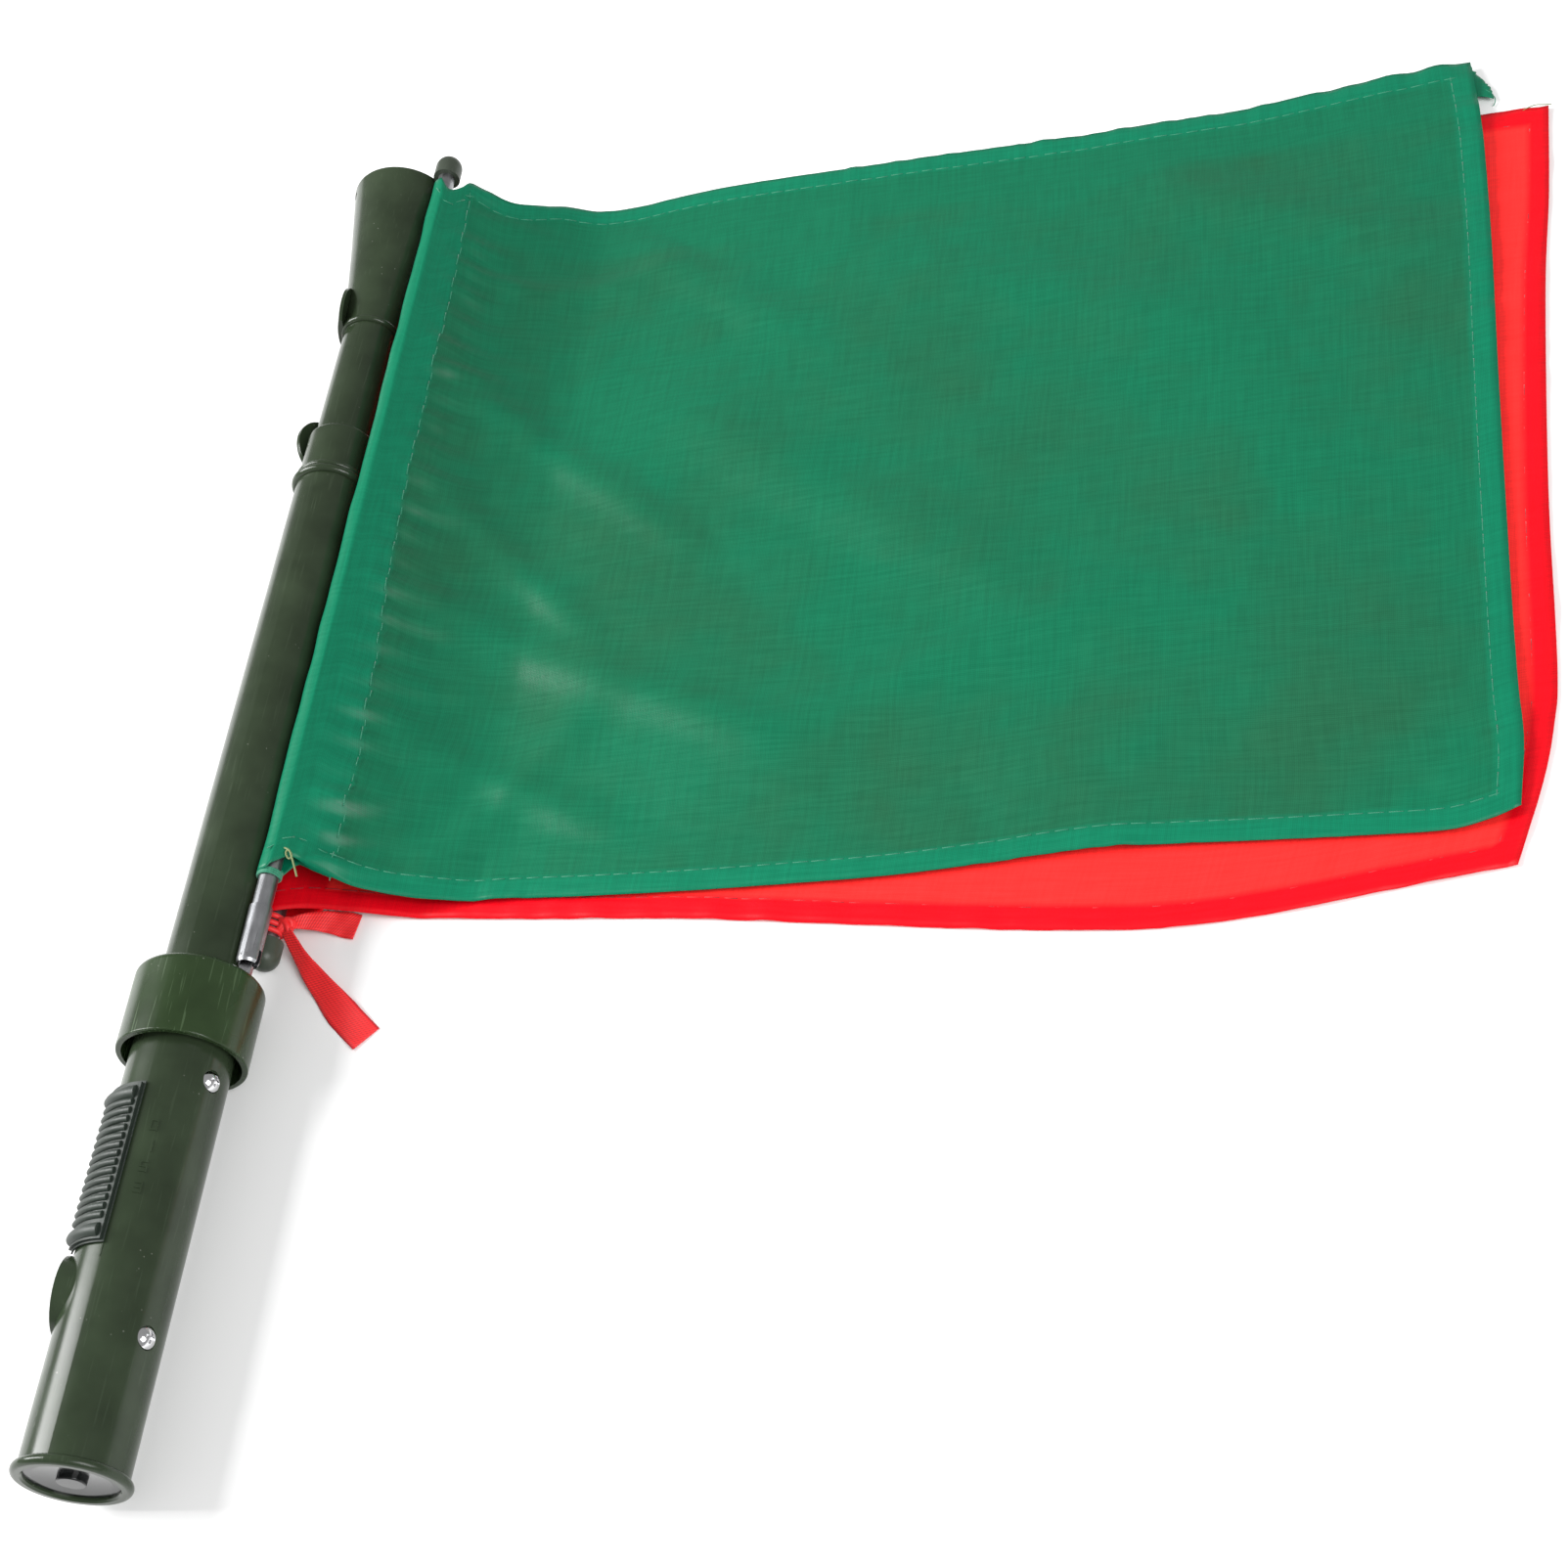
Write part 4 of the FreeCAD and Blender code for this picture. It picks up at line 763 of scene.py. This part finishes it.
def stitch_tree():
    """Geometry Nodes: a row of short stitches along a line of points."""
    tree = bpy.data.node_groups.new("stitch_row", "GeometryNodeTree")
    face = tree.interface
    face.new_socket("Geometry", in_out="INPUT", socket_type="NodeSocketGeometry")
    for label, value in (("Spacing", 0.0055), ("Stitch Length", 0.0045), ("Stitch Radius", 0.00022)):
        face.new_socket(label, in_out="INPUT", socket_type="NodeSocketFloat").default_value = value
    face.new_socket("Thread", in_out="INPUT", socket_type="NodeSocketMaterial")
    face.new_socket("Geometry", in_out="OUTPUT", socket_type="NodeSocketGeometry")
    add, link = tree.nodes.new, tree.links.new
    source, sink = add("NodeGroupInput"), add("NodeGroupOutput")
    curve = add("GeometryNodeMeshToCurve")
    spaced = add("GeometryNodeResampleCurve")
    spaced.mode = "LENGTH"
    points = add("GeometryNodeCurveToPoints")
    points.mode = "EVALUATED"
    stitch = add("GeometryNodeMeshCylinder")
    stitch.inputs["Vertices"].default_value = 6
    place = add("GeometryNodeInstanceOnPoints")
    sway = add("FunctionNodeRandomValue")
    sway.data_type = "FLOAT_VECTOR"
    low, high = [[s for s in sway.inputs if s.name == n and s.enabled][0] for n in ("Min", "Max")]
    low.default_value = (0.95, 0.95, 0.82)
    high.default_value = (1.05, 1.05, 1.08)
    [s for s in sway.inputs if s.name == "Seed"][0].default_value = 7
    real = add("GeometryNodeRealizeInstances")
    paint = add("GeometryNodeSetMaterial")
    link(source.outputs["Geometry"], curve.inputs["Mesh"])
    link(curve.outputs["Curve"], spaced.inputs["Curve"])
    link(source.outputs["Spacing"], spaced.inputs["Length"])
    link(spaced.outputs["Curve"], points.inputs["Curve"])
    link(source.outputs["Stitch Radius"], stitch.inputs["Radius"])
    link(source.outputs["Stitch Length"], stitch.inputs["Depth"])
    link(points.outputs["Points"], place.inputs["Points"])
    link(points.outputs["Rotation"], place.inputs["Rotation"])
    link(stitch.outputs["Mesh"], place.inputs["Instance"])
    link([s for s in sway.outputs if s.enabled][0], place.inputs["Scale"])
    link(place.outputs["Instances"], real.inputs["Geometry"])
    link(real.outputs["Geometry"], paint.inputs["Geometry"])
    link(source.outputs["Thread"], paint.inputs["Material"])
    link(paint.outputs["Geometry"], sink.inputs["Geometry"])
    return tree


STITCHES = stitch_tree()


def sewn(name, lines, thread):
    """One piece holding the stitches of several lines."""
    verts, edges = [], []
    for line in lines:
        first = len(verts)
        verts += line
        edges += [(first + i, first + i + 1) for i in range(len(line) - 1)]
    mesh = bpy.data.meshes.new(name + "_line")
    mesh.from_pydata([tuple(v) for v in verts], edges, [])
    guide = in_scene(name + "_line", mesh)
    rows = guide.modifiers.new("stitches", "NODES")
    rows.node_group = STITCHES
    sockets = {s.name: s.identifier for s in STITCHES.interface.items_tree if s.in_out == "INPUT"}
    rows[sockets["Stitch Radius"]] = STITCH_RADIUS * MM
    rows[sockets["Thread"]] = thread
    result = finished_mesh(guide)
    result.shade_smooth()
    result.name = name
    return in_scene(name, result)


SIDES = ("bottom", "top", "right")
green_lines = [green.hem_line(side) for side in (*SIDES, "seam")]
green_stitches = sewn("green_stitching", green_lines, green_thread)
red_stitches = sewn("red_stitching", [red.hem_line(side) for side in SIDES], red_thread)


# ---------------------------------------------------------------- ribbon, knot and threads

RIBBON = 0.5            # thickness of the ribbon


def ribbon_strip(name, route, widths, leans, steps=60, across=8):
    """Flat ribbon along a smooth route, with its own width and lean at each share of the way.

    Gives the piece and its length.
    """
    plan = polyline([(p[0], p[1]) for p in route])
    side_view = polyline([(p[0], p[2]) for p in route])
    width, lean = polyline(list(enumerate(widths))), polyline(list(enumerate(leans)))
    spine = []
    for i in range(steps + 1):
        a, b = plan(i / steps), side_view(i / steps)
        spine.append(Vector((a.x, a.y, b.y)))
    verts, maps, run = [], [], 0.0
    for i, p in enumerate(spine):
        way = (spine[min(i + 1, steps)] - spine[max(i - 1, 0)]).normalized()
        side = Vector((way.y, -way.x, 0)).normalized()
        s = i / steps
        side = Matrix.Rotation(math.radians(lean(s).y), 3, way) @ side
        half = width(s).y / 2
        ripple = side.cross(way) * 0.25 * math.sin(i * 0.35)
        for k in range(across + 1):
            o = 2 * k / across - 1
            verts.append(p + side * half * o + ripple * o)
            maps.append((o * half * MM, run * MM))
        if i < steps:
            run += (spine[i + 1] - p).length
    faces = grid_faces(steps + 1, across + 1)
    piece = object_from(name, [at(*v) for v in verts], faces, red_ribbon)
    set_cloth_map(piece, maps)
    thicken(piece, RIBBON, 0.0)
    return piece, run


ribbon, ribbon_length = ribbon_strip(
    "tie_ribbon_end",
    [(15.8, 179.5, -12.2), (18.5, 175.5, -12.8), (23.5, 168.5, -15.3), (31, 160, -17.6),
     (39, 151.5, -18.7), (47.2, 143.8, -18.9)],
    (3.0, 6.5, 9.8, 10.0, 10.0, 10.0), (35, 30, 12, 3, 0, 0))
tail, _ = ribbon_strip(
    "ribbon_tail_end",
    [(16.5, 181.5, -12.8), (21, 183.2, -14.4), (28, 184.2, -17.2), (36.5, 183.0, -18.6)],
    (3.5, 7.0, 8.5, 9.0), (25, 12, 4, 0))


def tube_along(name, points, radius, material):
    """Round thread or band along its points."""
    curve = bpy.data.curves.new(name, "CURVE")
    curve.dimensions = "3D"
    curve.bevel_depth = radius * MM
    curve.bevel_resolution = 3
    curve.use_fill_caps = True
    line = curve.splines.new("NURBS")
    line.points.add(len(points) - 1)
    for spot, p in zip(line.points, points):
        spot.co = (*at(*p), 1.0)
    line.order_u = 3
    line.use_endpoint_u = True
    curve.resolution_u = 8
    mesh = finished_mesh(in_scene(name + "_curve", curve))
    mesh.materials.clear()
    mesh.materials.append(material)
    mesh.shade_smooth()
    return in_scene(name, mesh)


def turns_round(flag, start, end, turns, radius, uneven, per_turn=14):
    """Points of a winding round a flag's rod, from y = start to y = end."""
    points = []
    total = int(turns * per_turn)
    for i in range(total + 1):
        s = i / total
        y = start + (end - start) * s
        middle = flag.rod_at(y)
        a = TURN * turns * s
        r = radius * (1 + uneven * math.sin(5.1 * a))
        points.append((middle.x + r * math.cos(a), y, middle.z + r * math.sin(a)))
    return points


def knot_route(turns=3, per_turn=15):
    """Points that wander round the middle of the ribbon's knot."""
    points = []
    for i in range(turns * per_turn + 1):
        a = TURN * i / per_turn
        points.append((
            15.7 + 1.9 * math.cos(a) * (1 + 0.25 * math.sin(2.3 * a)),
            180.4 + 1.7 * math.sin(1.37 * a),
            -12.6 + 1.7 * math.sin(a) * math.cos(0.4 * a)))
    return points


LOOSE_THREAD = 0.16     # radius of a loose thread's end
band_turns = turns_round(red, 178.3, 184.6, turns=2.6, radius=3.95, uneven=0.05)
tie_turns = turns_round(green, 186.6, 188.6, turns=3.0, radius=3.55, uneven=0.02)
band = tube_along("tie_band_loops", band_turns, 0.9, red_ribbon)
knot = tube_along("knot_loops", knot_route(), 1.0, red_ribbon)
tie = tube_along("tie_thread_loops", tie_turns, 0.45, green_thread)
pinch = tube_along("pinch_thread", [
    (20.2, 195.6, 7.6), (22.0, 194.6, 8.6), (23.8, 192.4, 8.0), (22.4, 191.4, 7.2), (21.2, 193.4, 8.4),
    (22.6, 194.4, 8.9), (24.0, 191.2, 8.4), (25.0, 188.4, 7.2), (25.6, 186.2, 5.8)],
    0.30, yellow_thread)


def corner_fold(rows=26, columns=8):
    """The turned-in end of the green hem, past the top corner, with a frayed edge."""
    top, low = Vector((382.0, 517.0)), Vector((384.0, 501.0))
    verts, maps = [], []
    for i in range(rows + 1):
        s = i / rows
        inner = top.lerp(low, s) - Vector((4.0, 0.5))
        fray = 0.9 * noise.noise(Vector((i * 0.9, 5.0, 0.0)))
        reach = 4.2 + 4.6 * smooth(0.0, 0.8, s) + fray
        drop = fray if s > 0.9 else 0.0
        for k in range(columns + 1):
            f = k / columns
            p = inner + Vector((reach * f, -1.6 * f * s - drop))
            crown = 0.9 * math.sin(math.pi * f) * (0.6 + 0.4 * s)
            verts.append(at(p.x, p.y, TABLE + 1.5 + crown))
            maps.append((p.x * MM, p.y * MM))
    piece = object_from("corner_fold", verts, grid_faces(rows + 1, columns + 1), green_nylon)
    set_cloth_map(piece, maps)
    set_attribute(piece, "layer", [0.8] * len(verts))
    set_attribute(piece, "under", [0.0] * len(verts))
    thicken(piece, CLOTH)
    return piece


fold = corner_fold()
loose_ends = [
    tube_along("loose_end_top", [
        (26.5, 479.0, 9.8), (24.2, 474.6, 10.3), (25.4, 471.6, 10.5), (28.0, 470.4, 9.6)],
        LOOSE_THREAD, green_thread),
    tube_along("loose_end_corner", [
        (386.5, 503.0, TABLE + 2.2), (388.8, 501.0, TABLE + 1.6),
        (389.6, 498.4, TABLE + 0.9), (388.6, 496.4, TABLE + 0.6)],
        LOOSE_THREAD, green_thread),
]
red_end = tube_along("red_loose_end", [
    (398.0, 491.6, TABLE + 1.4), (401.5, 493.6, TABLE + 1.7),
    (404.6, 493.2, TABLE + 1.5), (407.4, 494.0, TABLE + 0.7)],
    LOOSE_THREAD, yellow_thread)


# ---------------------------------------------------------------- bodies and hidden parts

for piece in (green_cloth, green_stitches, tie, pinch, fold, *loose_ends):
    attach(piece, "green_arm")
for piece in (red_cloth, red_stitches, ribbon, tail, band, knot, red_end):
    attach(piece, "red_arm")
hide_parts("green_flag")
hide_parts("red_flag")
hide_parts("tie_ribbon")
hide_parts("ribbon_tail")
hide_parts("tie_band")
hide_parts("ribbon_knot")
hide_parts("tie_thread")


# ---------------------------------------------------------------- table, light and background

TABLE_HALF = 6.0        # half of the table's side, in metres
TABLE_GAP = 0.00002     # the table's face lies this far, in metres, under the level z = 0


def table():
    h = TABLE_HALF
    corners = [(-h, -h, 0), (h, -h, 0), (h, h, 0), (-h, h, 0)]
    white = Nodes("table_white").finish(Base_Color=(0.9, 0.9, 0.9), Roughness=0.6)
    piece = object_from("table", corners, [(0, 1, 2, 3)], white, shade=False)
    piece.location.z = -TABLE_GAP


def area_light(name, place, power, size_x, size_y):
    """A lamp in metres and watts that points at the object's origin."""
    data = bpy.data.lights.new(name, "AREA")
    data.energy = power
    data.shape = "RECTANGLE"
    data.size = size_x
    data.size_y = size_y
    light = bpy.data.objects.new(name, data)
    light.location = place
    light.rotation_euler = (-Vector(place)).to_track_quat("-Z", "Y").to_euler()
    bpy.context.scene.collection.objects.link(light)


def studio():
    world = bpy.data.worlds.new("studio")
    world.use_nodes = True
    background = world.node_tree.nodes["Background"]
    background.inputs["Color"].default_value = (1, 1, 1, 1)
    background.inputs["Strength"].default_value = 0.42
    bpy.context.scene.world = world
    area_light("key", (-1.5, 0.05, 1.05), 52, 0.8, 1.0)
    area_light("fill", (1.15, -0.8, 1.3), 32, 1.1, 1.1)
    bpy.context.scene.view_settings.view_transform = "Standard"


table()
studio()
